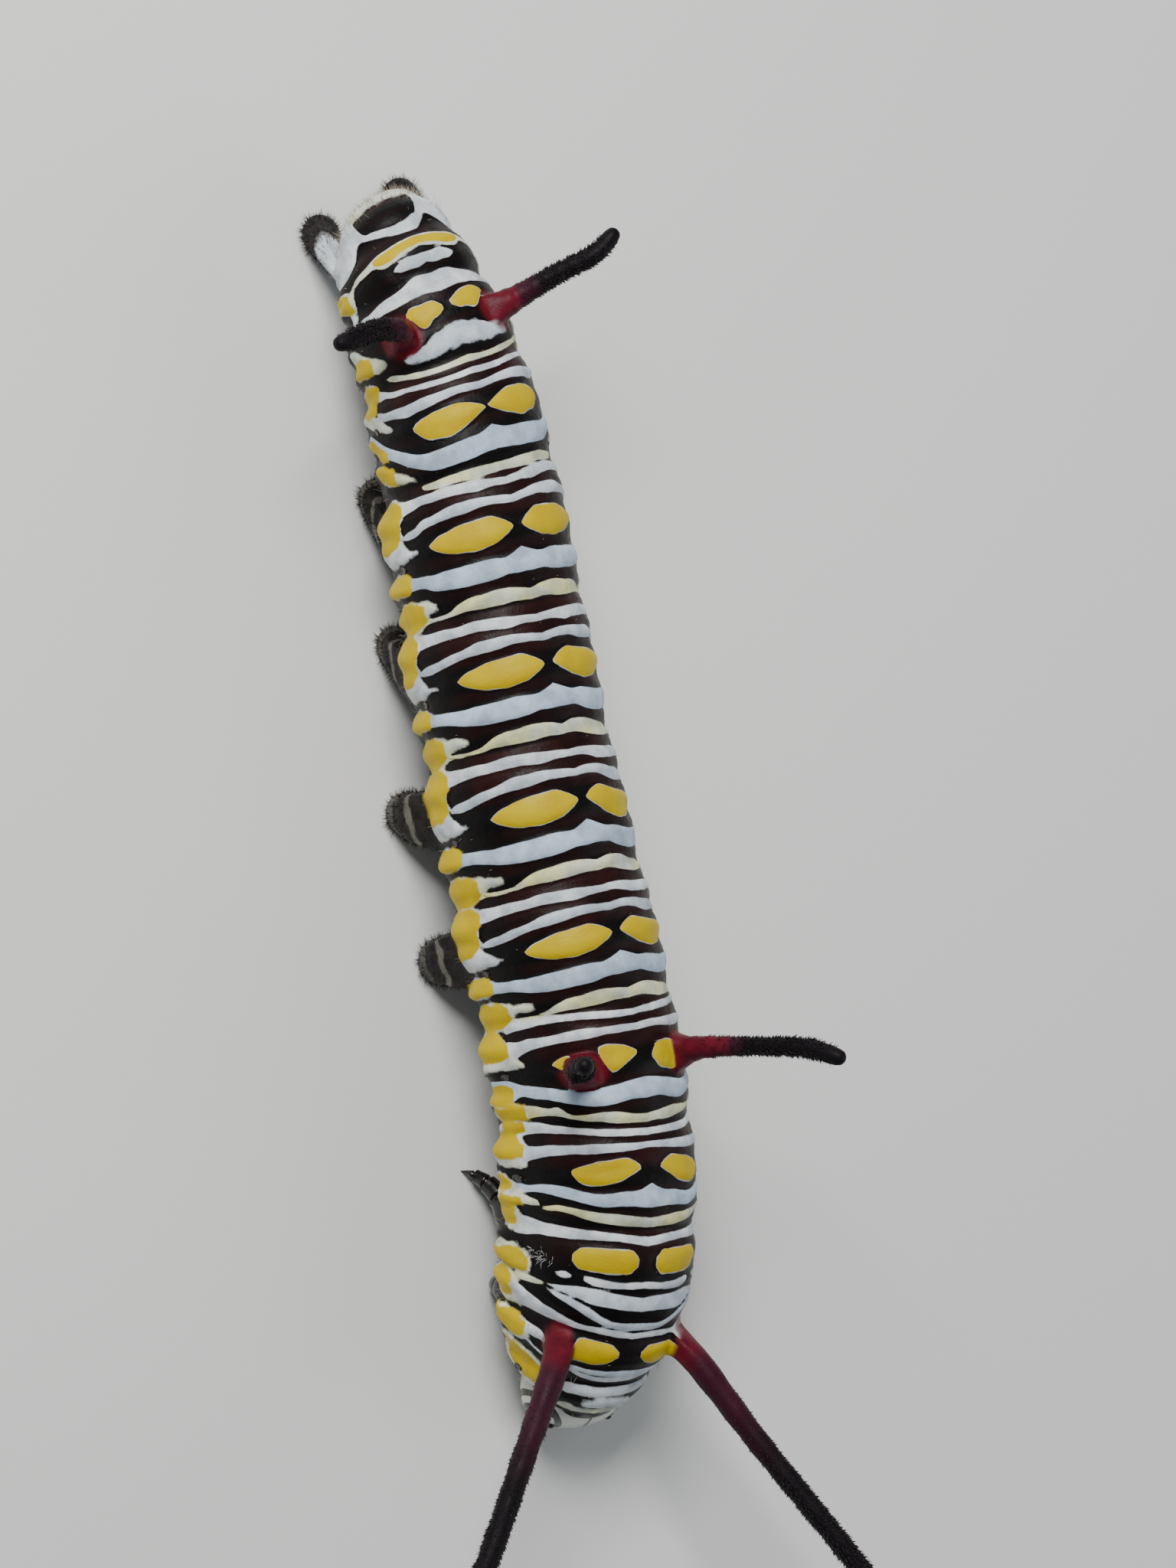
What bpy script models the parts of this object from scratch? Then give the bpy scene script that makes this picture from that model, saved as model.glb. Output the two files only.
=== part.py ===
"""A full-grown larva of the plain tiger butterfly at life size, standing with its head bent down.

+Z is up, the head points to -Y, and the animal's right flank faces -X. Every ring of the body is
given by two numbers: a place counted in segments from the neck (0) to the tail (13), and an angle
round the body from the middle of the back (0), positive down the animal's right side.
Lengths in the tables are millimetres and angles are degrees.
"""
import math
from collections import namedtuple

import bmesh
import bpy
from mathutils import Vector

MM = 0.001
GAP = 0.26                      # clear space between neighbouring pieces

# Where the floor point under the middle of the whole outline lies, in the tables' own places
MIDDLE_SIDE = -1.64
MIDDLE_ALONG = -4.09

# The folds between the segments, neck to tail: where each lies along the body, how far to its left,
# how high, the half width there, how far the ring leans to the head, rolls and turns sideways
Fold = namedtuple("Fold", "along side height half_width lean roll turn")
FOLDS = (
    Fold(-17.35, -0.45, 2.05, 1.75, 48, 0, 4),
    Fold(-16.40, -0.27, 2.42, 2.36, 34, 0, 7),
    Fold(-15.10, 0.02, 3.00, 2.78, 24, 0, 9),
    Fold(-12.75, 0.43, 3.50, 2.86, 9, 2, 9),
    Fold(-9.90, 0.74, 3.60, 2.85, 3, 4, 3),
    Fold(-6.40, 0.70, 3.60, 2.88, 0, 6, -3),
    Fold(-2.58, 0.40, 3.55, 2.88, 0, 6, -5),
    Fold(1.51, 0.12, 3.50, 2.85, 0, 4, -4),
    Fold(5.56, 0.00, 3.50, 2.82, 0, 0, -4),
    Fold(9.50, -0.08, 3.50, 2.72, -3, -3, -6),
    Fold(12.60, -0.25, 3.35, 2.52, -8, -6, -8),
    Fold(14.90, -0.55, 3.00, 2.25, -16, -8, -8),
    Fold(16.20, -0.70, 2.60, 2.05, -28, -8, -8),
    Fold(17.20, -0.75, 2.15, 1.65, -45, -8, -8),
)
SEGMENTS = ("prothorax", "mesothorax", "metathorax") + tuple(f"abdomen_{n}" for n in range(1, 11))

RING_SIDES = 26
RING_STEP = 0.32                # distance between the rings of points, along the body
FEWEST_RINGS = 5

# Relief of the skin, for a segment of the usual length; shorter ones have less
USUAL_LENGTH = 3.9
FOLD_DEPTH = 0.15
FOLD_SPREAD = 0.27
RIPPLE = 0.035
RIPPLES = 4
BELLY_FLAT = 0.09               # share of the half width that the underside is drawn in
FLANK_ANGLE = 103
FLANK_SPREAD = 18
FLANK_RIDGE = 0.20              # height of the fold along the flank that carries the lobes
FLANK_LOBES = ((0.04, 0.08, 0.16), (0.27, 0.085, 0.22), (0.60, 0.10, 0.30), (0.79, 0.09, 0.28))

SKIN = ("skin", (0.80, 0.84, 0.86), 0.45)
FILAMENT = ("filament", (0.16, 0.01, 0.02), 0.5)
HORN = ("horn", (0.015, 0.013, 0.012), 0.25)
FOOT = ("foot", (0.05, 0.045, 0.045), 0.6)
FACE = ("face", (0.78, 0.78, 0.72), 0.3)


def blend(column, u):
    """Value of one column of the folds at u, on a smooth curve through the folds."""
    last = len(FOLDS) - 1
    k = min(max(int(math.floor(u)), 0), last - 1)
    t = u - k
    before, here, there, after = (getattr(FOLDS[min(max(k + step, 0), last)], column)
                                  for step in (-1, 0, 1, 2))
    slope_here = (there - before) / (2 if k > 0 else 1)
    slope_there = (after - here) / (2 if k < last - 1 else 1)
    return ((2 * t ** 3 - 3 * t ** 2 + 1) * here + (t ** 3 - 2 * t ** 2 + t) * slope_here
            + (3 * t ** 2 - 2 * t ** 3) * there + (t ** 3 - t ** 2) * slope_there)


def centre(u):
    """Middle of the body's ring at u."""
    return Vector((blend("side", u) - MIDDLE_SIDE, blend("along", u) - MIDDLE_ALONG, blend("height", u)))


def axes(u):
    """Directions at u: up through the back, level to the animal's left, and along to the tail."""
    lean = math.radians(blend("lean", u))
    turn = math.radians(blend("turn", u))
    up = Vector((-math.sin(lean) * math.sin(turn), -math.sin(lean) * math.cos(turn), math.cos(lean)))
    left = Vector((math.cos(turn), -math.sin(turn), 0.0))
    return up, left, up.cross(left)


def bump(x, middle, spread):
    """A smooth hump, 1 at the middle."""
    return math.exp(-((x - middle) / spread) ** 2)


def relief(u, phi):
    """How far the skin at u and phi stands off the plain ring: folds, ripples and flank lobes."""
    t = u % 1.0
    length = blend("along", u + 0.5) - blend("along", u - 0.5)
    share = min(1, length / USUAL_LENGTH)
    groove = -FOLD_DEPTH * bump(min(t, 1 - t) * length, 0, FOLD_SPREAD)
    ripple = RIPPLE * share ** 2 * math.cos(2 * math.pi * RIPPLES * t)
    lobe = sum(high * (bump(t, at, wide) + bump(t, at + 1, wide)) for at, wide, high in FLANK_LOBES)
    flank = (share * lobe + share ** 3 * FLANK_RIDGE) * bump(abs(phi), FLANK_ANGLE, FLANK_SPREAD)
    belly = -BELLY_FLAT * bump(abs(phi), 180, 55)
    return groove + ripple + flank + belly * blend("half_width", u)


def skin_point(u, phi):
    """Point of the skin at u and phi."""
    up, left, _ = axes(u)
    angle = math.radians(phi - blend("roll", u))
    reach = blend("half_width", u) + relief(u, phi)
    return centre(u) + reach * (math.cos(angle) * up - math.sin(angle) * left)


def over(surface, a, b, heart, steps):
    """Point a gap above a surface of two numbers, straight off it and away from the heart."""
    along = surface(a + steps[0], b) - surface(a - steps[0], b)
    across = surface(a, b + steps[1]) - surface(a, b - steps[1])
    normal = along.cross(across).normalized()
    point = surface(a, b)
    return point + GAP * (normal if normal.dot(point - heart) > 0 else -normal)


def over_skin(u, phi):
    return over(skin_point, u, phi, centre(u), (0.03, 2))


def material(recipe):
    """The material of that name, made on its first use."""
    name, colour, roughness = recipe
    found = bpy.data.materials.get(name)
    if found:
        return found
    made = bpy.data.materials.new(name)
    made.use_nodes = True
    surface = made.node_tree.nodes["Principled BSDF"]
    surface.inputs["Base Color"].default_value = (*colour, 1)
    surface.inputs["Roughness"].default_value = roughness
    made.diffuse_color = (*colour, 1)
    return made


def add_object(name, mesh, recipe):
    """Link a mesh as a named object with its material, shaded smooth except at its edges."""
    mesh.materials.append(material(recipe))
    mesh.shade_smooth()
    mesh.set_sharp_from_angle(angle=math.radians(50))
    made = bpy.data.objects.new(name, mesh)
    bpy.context.scene.collection.objects.link(made)
    return made


def mesh_of_rings(name, rings, first_cap=(), last_cap=()):
    """Closed mesh through rings of points in millimetres, each end closed by smaller rings or a point.

    A cap is a list of rings, ending with a list that holds one point.
    """
    shape = bmesh.new()

    def add_ring(points):
        return [shape.verts.new(point * MM) for point in points]

    def join(ring, other):
        count = len(ring)
        for i in range(count):
            j = (i + 1) % count
            if len(other) == 1:
                shape.faces.new((ring[i], ring[j], other[0]))
            else:
                shape.faces.new((ring[i], ring[j], other[j], other[i]))

    made = [add_ring(points) for points in rings]
    for ring, other in zip(made, made[1:]):
        join(ring, other)
    for edge, cap in ((made[0], first_cap), (made[-1], last_cap)):
        for points in cap:
            inner = add_ring(points)
            join(edge, inner)
            edge = inner
    bmesh.ops.triangulate(shape, faces=shape.faces[:])
    bmesh.ops.recalc_face_normals(shape, faces=shape.faces[:])
    mesh = bpy.data.meshes.new(name)
    shape.to_mesh(mesh)
    shape.free()
    return mesh


def ring_angles(sides):
    return [360 * i / sides - 180 for i in range(sides)]


def segment_rings(number, both_ends=True):
    """Rings of points of one segment, its flat ends half a gap short of the folds."""
    steps = max(FEWEST_RINGS, round((centre(number + 1) - centre(number)).length / RING_STEP))
    rings = []
    for row in range(steps + 1):
        u = number + row / steps
        ring = [skin_point(u, phi) for phi in ring_angles(RING_SIDES)]
        _, _, back = axes(u)
        if row == 0:
            ring = [point + back * GAP / 2 for point in ring]
        if row == steps and both_ends:
            ring = [point - back * GAP / 2 for point in ring]
        rings.append(ring)
    return rings


def middle_of(ring):
    return sum(ring, Vector()) / len(ring)


def segment(number):
    """One segment of the body, between two folds."""
    rings = segment_rings(number)
    return mesh_of_rings(SEGMENTS[number], rings, [[middle_of(rings[0])]], [[middle_of(rings[-1])]])


TAIL_DEPTH = 0.45
TAIL_STEPS = ((0.35, 0.95), (0.75, 0.74), (0.95, 0.42))


def tail_segment():
    """The last segment, closed by the rounded end of the body under the tail shield."""
    number = len(SEGMENTS) - 1
    rings = segment_rings(number, both_ends=False)
    _, _, back = axes(number + 1)
    middle = middle_of(rings[-1])
    cap = [[middle + back * TAIL_DEPTH * depth + (point - middle) * share for point in rings[-1]]
           for depth, share in TAIL_STEPS]
    cap.append([middle + back * TAIL_DEPTH])
    return mesh_of_rings(SEGMENTS[number], rings, [[middle_of(rings[0])]], cap)


# A limb grows from an oval patch of skin: u and phi of its middle, half length along the body in
# segments and half width in degrees. Its path then goes through points given by their distance out
# from the body's middle line, how far they lie behind the root's ring, and their height.
Root = namedtuple("Root", "u phi long wide")
DOWN = Vector((0, 0, -1))
LIMB_SIDES = 10
LEG_SIDES = 8
FOOT_ROLL = 0.10                # height of the rounded edge round a sole
SOLE_SHARE = 0.86               # width of the flat sole, as a share of the foot
STANDING_RINGS = 5


def share_of(values, share):
    """Value at a share of the way through a list."""
    place = share * (len(values) - 1)
    at = min(int(place), len(values) - 2)
    return values[at] + (values[at + 1] - values[at]) * (place - at)


def skin_patch(side, root, phi, sides):
    """The patch a limb grows from, as a function of the share that its rim is drawn in to."""
    turn = [2 * math.pi * i / sides for i in range(sides)]

    def patch(share):
        return [over_skin(root.u + share * root.long * math.cos(a),
                          phi - side * share * root.wide * math.sin(a)) for a in turn]

    return patch


def beside(u, side, out, behind, height):
    """Point at a distance out from the body's middle line, behind the ring at u and above the floor."""
    middle = centre(u)
    _, left, back = axes(u)
    place = middle + side * out * left + behind * Vector((back.x, back.y, 0)).normalized()
    return Vector((place.x, place.y, height))


def curve(points, steps):
    """Points on a smooth curve through the given ones."""
    count = len(points)
    out = []
    for k in range(count - 1):
        before, here, there, after = (points[min(max(k + step, 0), count - 1)] for step in (-1, 0, 1, 2))
        for step in range(steps):
            t = step / steps
            out.append(0.5 * (2 * here + (there - before) * t
                              + (2 * before - 5 * here + 4 * there - after) * t ** 2
                              + (3 * here - before - 3 * there + after) * t ** 3))
    out.append(points[-1])
    return out


def horn_mesh(name, patch, line, radii, settle):
    """Closed mesh of a limb that leaves its patch and soon turns round, with a rounded tip.

    The line starts at the patch's middle, and settle is the number of rings it takes to turn round.
    """
    root = patch(1.0)
    sides = len(root)
    count = len(line) - 1
    rings = [root]
    for k in range(1, count + 1):
        heading = (line[min(k + 1, count)] - line[k - 1]).normalized()
        first = root[0] - line[0]
        first = (first - first.dot(heading) * heading).normalized()
        second = heading.cross(first)
        if second.dot(root[sides // 4] - line[0]) < 0:
            second = -second
        radius = share_of(radii, k / count)
        own = min(1, k / settle)
        own = own * own * (3 - 2 * own)
        ring = []
        for i in range(sides):
            a = 2 * math.pi * i / sides
            turned = radius * (math.cos(a) * first + math.sin(a) * second)
            ring.append(line[k] + (root[i] - line[0]).lerp(turned, own))
        rings.append(ring)
    end = radii[-1]
    tip = [[line[-1] + heading * end * 0.6 + (point - line[-1]) * 0.65 for point in rings[-1]],
           [line[-1] + heading * end]]
    return mesh_of_rings(name, rings, [patch(0.5), [line[0]]], tip)


def filament(name, side, root, path, radii, swing):
    """A fleshy feeler of the back on one side (-1 right, 1 left), its tip swung back by the last value."""
    phi = -side * root.phi
    points = [over_skin(root.u, phi)]
    for k, (out, behind, height) in enumerate(path):
        behind += swing * ((k + 1) / len(path)) ** 2
        points.append(beside(root.u, side, out, behind, height))
    patch = skin_patch(side, root, phi, LIMB_SIDES)
    add_object(name, horn_mesh(name, patch, curve(points, 3), radii, 3), FILAMENT)


def standing_limb(name, side, root, knee, foot, half_width, waist, sides, recipe):
    """A leg or proleg on one side: its patch turns level and round on the way down to a flat sole."""
    phi = -side * root.phi + blend("roll", root.u)
    patch = skin_patch(side, root, phi, sides)
    rim, base = patch(1.0), over_skin(root.u, phi)
    bend = beside(root.u, side, *knee)
    sole = beside(root.u, side, *foot, FOOT_ROLL)
    first = rim[0] - base
    first = Vector((first.x, first.y, 0)).normalized()
    second = side * Vector((-first.y, first.x, 0))
    turn = [2 * math.pi * i / sides for i in range(sides)]
    circle = [half_width * (math.cos(a) * first + math.sin(a) * second) for a in turn]
    rings = []
    for k in range(STANDING_RINGS + 1):
        t = k / STANDING_RINGS
        middle = (1 - t) ** 2 * base + 2 * t * (1 - t) * bend + t ** 2 * sole
        drawn = 1 - waist * math.sin(math.pi * t)
        rings.append([middle + drawn * (start - base).lerp(end, t) for start, end in zip(rim, circle)])
    floor = Vector((sole.x, sole.y, 0))
    flat = [floor + SOLE_SHARE * point for point in circle]
    add_object(name, mesh_of_rings(name, rings, [patch(0.5), [base]], [flat, [floor]]), recipe)


# Filaments of the front, middle and rear pair: root, path, half thickness, and how far the tips of the
# right and the left one are swung back
FILAMENTS = {
    "front": (Root(1.74, 46, 0.20, 10), ((2.50, -1.7, 5.00), (3.95, -4.0, 5.80), (5.80, -6.8, 6.90),
                                         (7.35, -9.0, 7.50), (8.45, -10.5, 7.70)),
              (0.45, 0.39, 0.35, 0.33, 0.32, 0.31, 0.29, 0.25), 0.0, 0.0),
    "middle": (Root(4.50, 37, 0.14, 9), ((2.25, 0.05, 6.9), (2.95, 0.0, 8.6), (3.65, -0.05, 10.1),
                                         (4.10, -0.2, 11.0)),
               (0.44, 0.34, 0.29, 0.26, 0.26, 0.28, 0.26), 0.7, -0.5),
    "rear": (Root(10.42, 40, 0.17, 11), ((2.1, 0.5, 5.45), (3.2, 0.6, 6.2), (4.2, 0.45, 6.8),
                                         (4.8, 0.3, 7.0)),
             (0.48, 0.36, 0.30, 0.28, 0.28, 0.25), 0.2, 1.2),
}

# Prolegs of the segments that have them: root, knee (out, behind and height) and foot (out and behind)
PROLEGS = {
    "3": (Root(5.54, 131, 0.23, 17), (2.50, 0.0, 0.80), (2.43, 0.0)),
    "4": (Root(6.58, 132, 0.23, 17), (2.45, 0.2, 0.80), (2.35, 0.4)),
    "5": (Root(7.62, 139, 0.22, 15), (1.72, 0.6, 0.65), (1.52, 1.1)),
    "6": (Root(8.66, 143, 0.21, 15), (1.45, 0.8, 0.60), (1.20, 1.4)),
    "tail": (Root(12.62, 128, 0.22, 17), (1.55, 0.55, 0.75), (1.50, 1.20)),
}
STANCE = {"tail": (0.55, 0.25)}  # how far a pair's feet stand to the left, and the left one behind the other
PROLEG_FOOT = 0.64              # half width of the foot
PROLEG_WAIST = 0.06

# True legs in the same way
LEGS = {
    "front": (Root(0.62, 136, 0.24, 12), (1.40, 1.10, 0.45), (1.08, 0.74)),
    "middle": (Root(1.55, 136, 0.20, 11), (1.95, 1.25, 0.45), (1.60, 0.92)),
    "hind": (Root(2.74, 137, 0.15, 9), (2.05, 1.85, 0.75), (2.88, 2.06)),
}
LEG_FOOT = 0.17
LEG_WAIST = 0.0

# The head: half width, half depth and half height of the capsule, and how its face turns down
HEAD_WIDE = 1.62
HEAD_DEEP = 1.20
HEAD_TALL = 1.50
HEAD_AHEAD = 0.45
HEAD_HIGH = 1.66
HEAD_SIDES = 28
HEAD_ROWS = 16
STEMMA = 0.13
STEMMATA = ((38, 10), (46, 4), (52, -5), (54, -15), (64, -8), (42, -6))
ANTENNA_PLACE = (41, -40)
ANTENNA_WIDE = 8                # half width of its root, in degrees of the capsule
ANTENNA_LENGTH = 0.65
ANTENNA_RADII = (0.22, 0.19, 0.20, 0.15, 0.12)


def head_axes():
    """Middle of the head capsule and its directions: left, forward and up."""
    _, left, _ = axes(0)
    forward = DOWN.cross(left)
    neck = centre(0)
    middle = Vector((neck.x, neck.y, 0)) + forward * HEAD_AHEAD + Vector((0, 0, HEAD_HIGH))
    return middle, left, forward, Vector((0, 0, 1))


def head_point(azimuth, height):
    """Point of the head capsule: azimuth from the middle of the face, height up from its waist."""
    middle, left, forward, up = head_axes()
    a, h = math.radians(azimuth), math.radians(height)
    wide = HEAD_WIDE * (1 - 0.16 * max(0, -math.sin(h)) ** 1.5)
    deep = HEAD_DEEP * (1 - 0.10 * max(0, -math.sin(h)))
    cleft = 0.14 * bump(azimuth, 0, 16) * max(0, math.sin(h)) ** 2
    x = wide * math.cos(h) ** 0.92 * math.sin(a)
    y = deep * math.cos(h) ** 0.80 * math.copysign(abs(math.cos(a)) ** 0.8, math.cos(a))
    z = HEAD_TALL * math.sin(h) - cleft
    return middle + x * left + y * forward + z * up


def over_head(azimuth, height):
    return over(head_point, azimuth, height, head_axes()[0], (2, 2))


def capsule():
    """The hard shell of the head, cut flat where it meets the body."""
    rings = [[head_point(360 * i / HEAD_SIDES - 180, 180 * row / HEAD_ROWS - 90)
              for i in range(HEAD_SIDES)] for row in range(1, HEAD_ROWS)]
    mesh = mesh_of_rings("capsule", rings, [[head_point(0, -90)]], [[head_point(0, 90)]])
    shape = bmesh.new()
    shape.from_mesh(mesh)
    _, _, back = axes(0)
    cut = bmesh.ops.bisect_plane(shape, geom=shape.verts[:] + shape.edges[:] + shape.faces[:],
                                 plane_co=(centre(0) - back * GAP / 2) * MM, plane_no=back,
                                 clear_outer=True, dist=1e-7)
    rim = [piece for piece in cut["geom_cut"] if isinstance(piece, bmesh.types.BMEdge)]
    bmesh.ops.holes_fill(shape, edges=rim)
    bmesh.ops.triangulate(shape, faces=shape.faces[:])
    bmesh.ops.recalc_face_normals(shape, faces=shape.faces[:])
    shape.to_mesh(mesh)
    shape.free()
    return mesh


def ball(name, middle, radius, stretch=(1, 1, 1)):
    """A small faceted ball in millimetres."""
    shape = bmesh.new()
    bmesh.ops.create_uvsphere(shape, u_segments=7, v_segments=5, radius=radius * MM)
    bmesh.ops.scale(shape, vec=stretch, verts=shape.verts[:])
    bmesh.ops.translate(shape, vec=middle * MM, verts=shape.verts[:])
    bmesh.ops.triangulate(shape, faces=shape.faces[:])
    mesh = bpy.data.meshes.new(name)
    shape.to_mesh(mesh)
    shape.free()
    return mesh


def fuse(name, meshes, recipe):
    """Join closed meshes into one solid and keep its largest closed surface."""
    pieces = bpy.data.collections.new(name + "_pieces")
    bpy.context.scene.collection.children.link(pieces)
    body = add_object(name, meshes[0], recipe)
    for k, mesh in enumerate(meshes[1:]):
        pieces.objects.link(bpy.data.objects.new(f"{name}_piece_{k}", mesh))
    union = body.modifiers.new("union", "BOOLEAN")
    union.operation = "UNION"
    union.operand_type = "COLLECTION"
    union.collection = pieces
    union.solver = "EXACT"
    ready = body.evaluated_get(bpy.context.evaluated_depsgraph_get())
    joined = bpy.data.meshes.new_from_object(ready)
    body.modifiers.clear()
    body.data = joined
    for piece in list(pieces.objects):
        bpy.data.objects.remove(piece)
    bpy.data.collections.remove(pieces)
    keep_largest(joined)
    return body


def keep_largest(mesh):
    """Drop all but the largest connected surface of a mesh."""
    shape = bmesh.new()
    shape.from_mesh(mesh)
    bmesh.ops.triangulate(shape, faces=shape.faces[:])
    left = set(shape.verts)
    groups = []
    while left:
        group, edge = set(), [left.pop()]
        while edge:
            vert = edge.pop()
            group.add(vert)
            for link in vert.link_edges:
                other = link.other_vert(vert)
                if other in left:
                    left.remove(other)
                    edge.append(other)
        groups.append(group)
    groups.sort(key=len)
    for group in groups[:-1]:
        bmesh.ops.delete(shape, geom=list(group), context="VERTS")
    shape.to_mesh(mesh)
    shape.free()


def antenna(name, side):
    """One of the two short feelers beside the jaws."""
    azimuth, height = side * ANTENNA_PLACE[0], ANTENNA_PLACE[1]
    middle, _, forward, _ = head_axes()
    base = over_head(azimuth, height)
    outward = (base - middle).normalized()
    heading = (outward + 0.5 * forward - 0.3 * DOWN).normalized()
    line = [base + heading * ANTENNA_LENGTH * k / 4 for k in range(5)]

    def patch(share):
        rim = [2 * math.pi * i / LEG_SIDES for i in range(LEG_SIDES)]
        return [over_head(azimuth + side * share * ANTENNA_WIDE * math.cos(a),
                          height + share * ANTENNA_WIDE * math.sin(a)) for a in rim]

    return add_object(name, horn_mesh(name, patch, line, ANTENNA_RADII, 2), HORN)


def build_head():
    """Head capsule with its eyelets, upper lip and jaws, and the two feelers."""
    middle, left, forward, up = head_axes()
    pieces = [capsule()]
    for side in (-1, 1):
        for k, (azimuth, height) in enumerate(STEMMATA):
            pieces.append(ball(f"eyelet_{side}_{k}", head_point(side * azimuth, height), STEMMA))
        jaw = middle + side * 0.24 * left + forward * (HEAD_DEEP * 0.62) - up * (HEAD_TALL * 0.84)
        pieces.append(ball(f"jaw_{side}", jaw, 0.27, (1.0, 0.9, 0.9)))
    lip = middle + forward * (HEAD_DEEP * 0.74) - up * (HEAD_TALL * 0.66)
    pieces.append(ball("lip", lip, 0.32, (1.3, 0.8, 0.8)))
    fuse("head", pieces, FACE)
    for side, word in ((-1, "right"), (1, "left")):
        antenna(f"antenna_{word}", side)


def build_body():
    for number in range(len(SEGMENTS) - 1):
        add_object(SEGMENTS[number], segment(number), SKIN)
    add_object(SEGMENTS[-1], tail_segment(), SKIN)


def build_limbs():
    for side, word in ((-1, "right"), (1, "left")):
        for pair, (root, path, radii, right_swing, left_swing) in FILAMENTS.items():
            swing = right_swing if side < 0 else left_swing
            filament(f"filament_{pair}_{word}", side, root, path, radii, swing)
        for pair, (root, knee, foot) in LEGS.items():
            standing_limb(f"leg_{pair}_{word}", side, root, knee, foot, LEG_FOOT, LEG_WAIST, LEG_SIDES, HORN)
        for pair, (root, knee, foot) in PROLEGS.items():
            aside, behind = STANCE.get(pair, (0, 0))
            knee = (knee[0] + side * aside / 2, knee[1] + side * behind / 2, knee[2])
            foot = (foot[0] + side * aside, foot[1] + side * behind)
            standing_limb(f"proleg_{pair}_{word}", side, root, knee, foot, PROLEG_FOOT, PROLEG_WAIST,
                          LIMB_SIDES, FOOT)


def main():
    for old in list(bpy.data.objects):
        bpy.data.objects.remove(old)
    build_body()
    build_limbs()
    build_head()


main()
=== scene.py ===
# %% [markdown]
# # The larva of a plain tiger butterfly
#
# The real animal is a soft tube of thirteen rings with a hard round head at one end. It walks on three
# pairs of small clawed legs in front and five pairs of soft prolegs behind, and three pairs of fleshy
# filaments stand on its back. It is about four centimetres long.
#
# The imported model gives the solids. This lesson dresses them: one soft skin over all the rings, with the
# filaments and prolegs pulled out of it, and the hard parts as pieces of their own.

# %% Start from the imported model
import math

import bmesh
import bpy
import numpy as np
from mathutils import Matrix, Vector


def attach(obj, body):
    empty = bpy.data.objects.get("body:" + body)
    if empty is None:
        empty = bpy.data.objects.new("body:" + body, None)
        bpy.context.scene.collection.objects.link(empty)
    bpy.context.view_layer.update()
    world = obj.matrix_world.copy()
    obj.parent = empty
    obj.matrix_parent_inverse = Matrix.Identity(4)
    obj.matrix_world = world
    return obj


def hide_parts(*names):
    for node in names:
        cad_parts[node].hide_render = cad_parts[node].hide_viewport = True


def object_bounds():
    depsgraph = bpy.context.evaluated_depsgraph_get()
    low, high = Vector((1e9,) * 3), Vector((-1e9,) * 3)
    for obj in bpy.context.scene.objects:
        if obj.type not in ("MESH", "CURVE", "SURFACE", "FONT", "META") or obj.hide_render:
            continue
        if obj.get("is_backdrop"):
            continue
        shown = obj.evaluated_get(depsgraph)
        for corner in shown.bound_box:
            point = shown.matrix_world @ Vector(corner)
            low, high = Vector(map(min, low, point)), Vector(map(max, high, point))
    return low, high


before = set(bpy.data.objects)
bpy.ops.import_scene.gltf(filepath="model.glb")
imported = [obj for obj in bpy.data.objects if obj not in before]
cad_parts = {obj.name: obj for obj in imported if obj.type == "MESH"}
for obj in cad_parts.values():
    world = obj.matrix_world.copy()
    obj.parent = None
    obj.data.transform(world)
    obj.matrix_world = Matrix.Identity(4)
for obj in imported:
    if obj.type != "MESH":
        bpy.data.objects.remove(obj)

MM = 0.001
CAD_BOX = [list(corner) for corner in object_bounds()]
print("solids:", len(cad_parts), "size in mm:", [round((b - a) / MM, 1) for a, b in zip(*CAD_BOX)])

# %% [markdown]
# ## Where everything on the body is
#
# A larva has no straight lines to measure from, so a place on it is given by two numbers. The first
# counts the rings from the neck (0) to the tail (13). The second is the angle round the body from the
# middle of the back, positive down the right side. A sculptor would push a tube into shape by eye. Here
# the folds between the rings are a short table, and a smooth curve runs through them, so that skin,
# pattern, legs and hairs all find their place from the same two numbers.

# %% The folds between the rings
LAST = 13
MIDDLE_SIDE = -1.64
MIDDLE_ALONG = -4.09
FOLD_COLUMNS = ("along", "side", "height", "half_width", "lean", "roll", "turn")
FOLDS = np.array((
    (-17.35, -0.45, 2.05, 1.75, 48, 0, 4),
    (-16.40, -0.27, 2.42, 2.36, 34, 0, 7),
    (-15.10, 0.02, 3.00, 2.78, 24, 0, 9),
    (-12.75, 0.43, 3.50, 2.86, 9, 2, 9),
    (-9.90, 0.74, 3.60, 2.85, 3, 4, 3),
    (-6.40, 0.70, 3.60, 2.88, 0, 6, -3),
    (-2.58, 0.40, 3.55, 2.88, 0, 6, -5),
    (1.51, 0.12, 3.50, 2.85, 0, 4, -4),
    (5.56, 0.00, 3.50, 2.82, 0, 0, -4),
    (9.50, -0.08, 3.50, 2.72, -3, -3, -6),
    (12.60, -0.25, 3.35, 2.52, -8, -6, -8),
    (14.90, -0.55, 3.00, 2.25, -16, -8, -8),
    (16.20, -0.70, 2.60, 2.05, -28, -8, -8),
    (17.20, -0.75, 2.15, 1.65, -45, -8, -8)))


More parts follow.
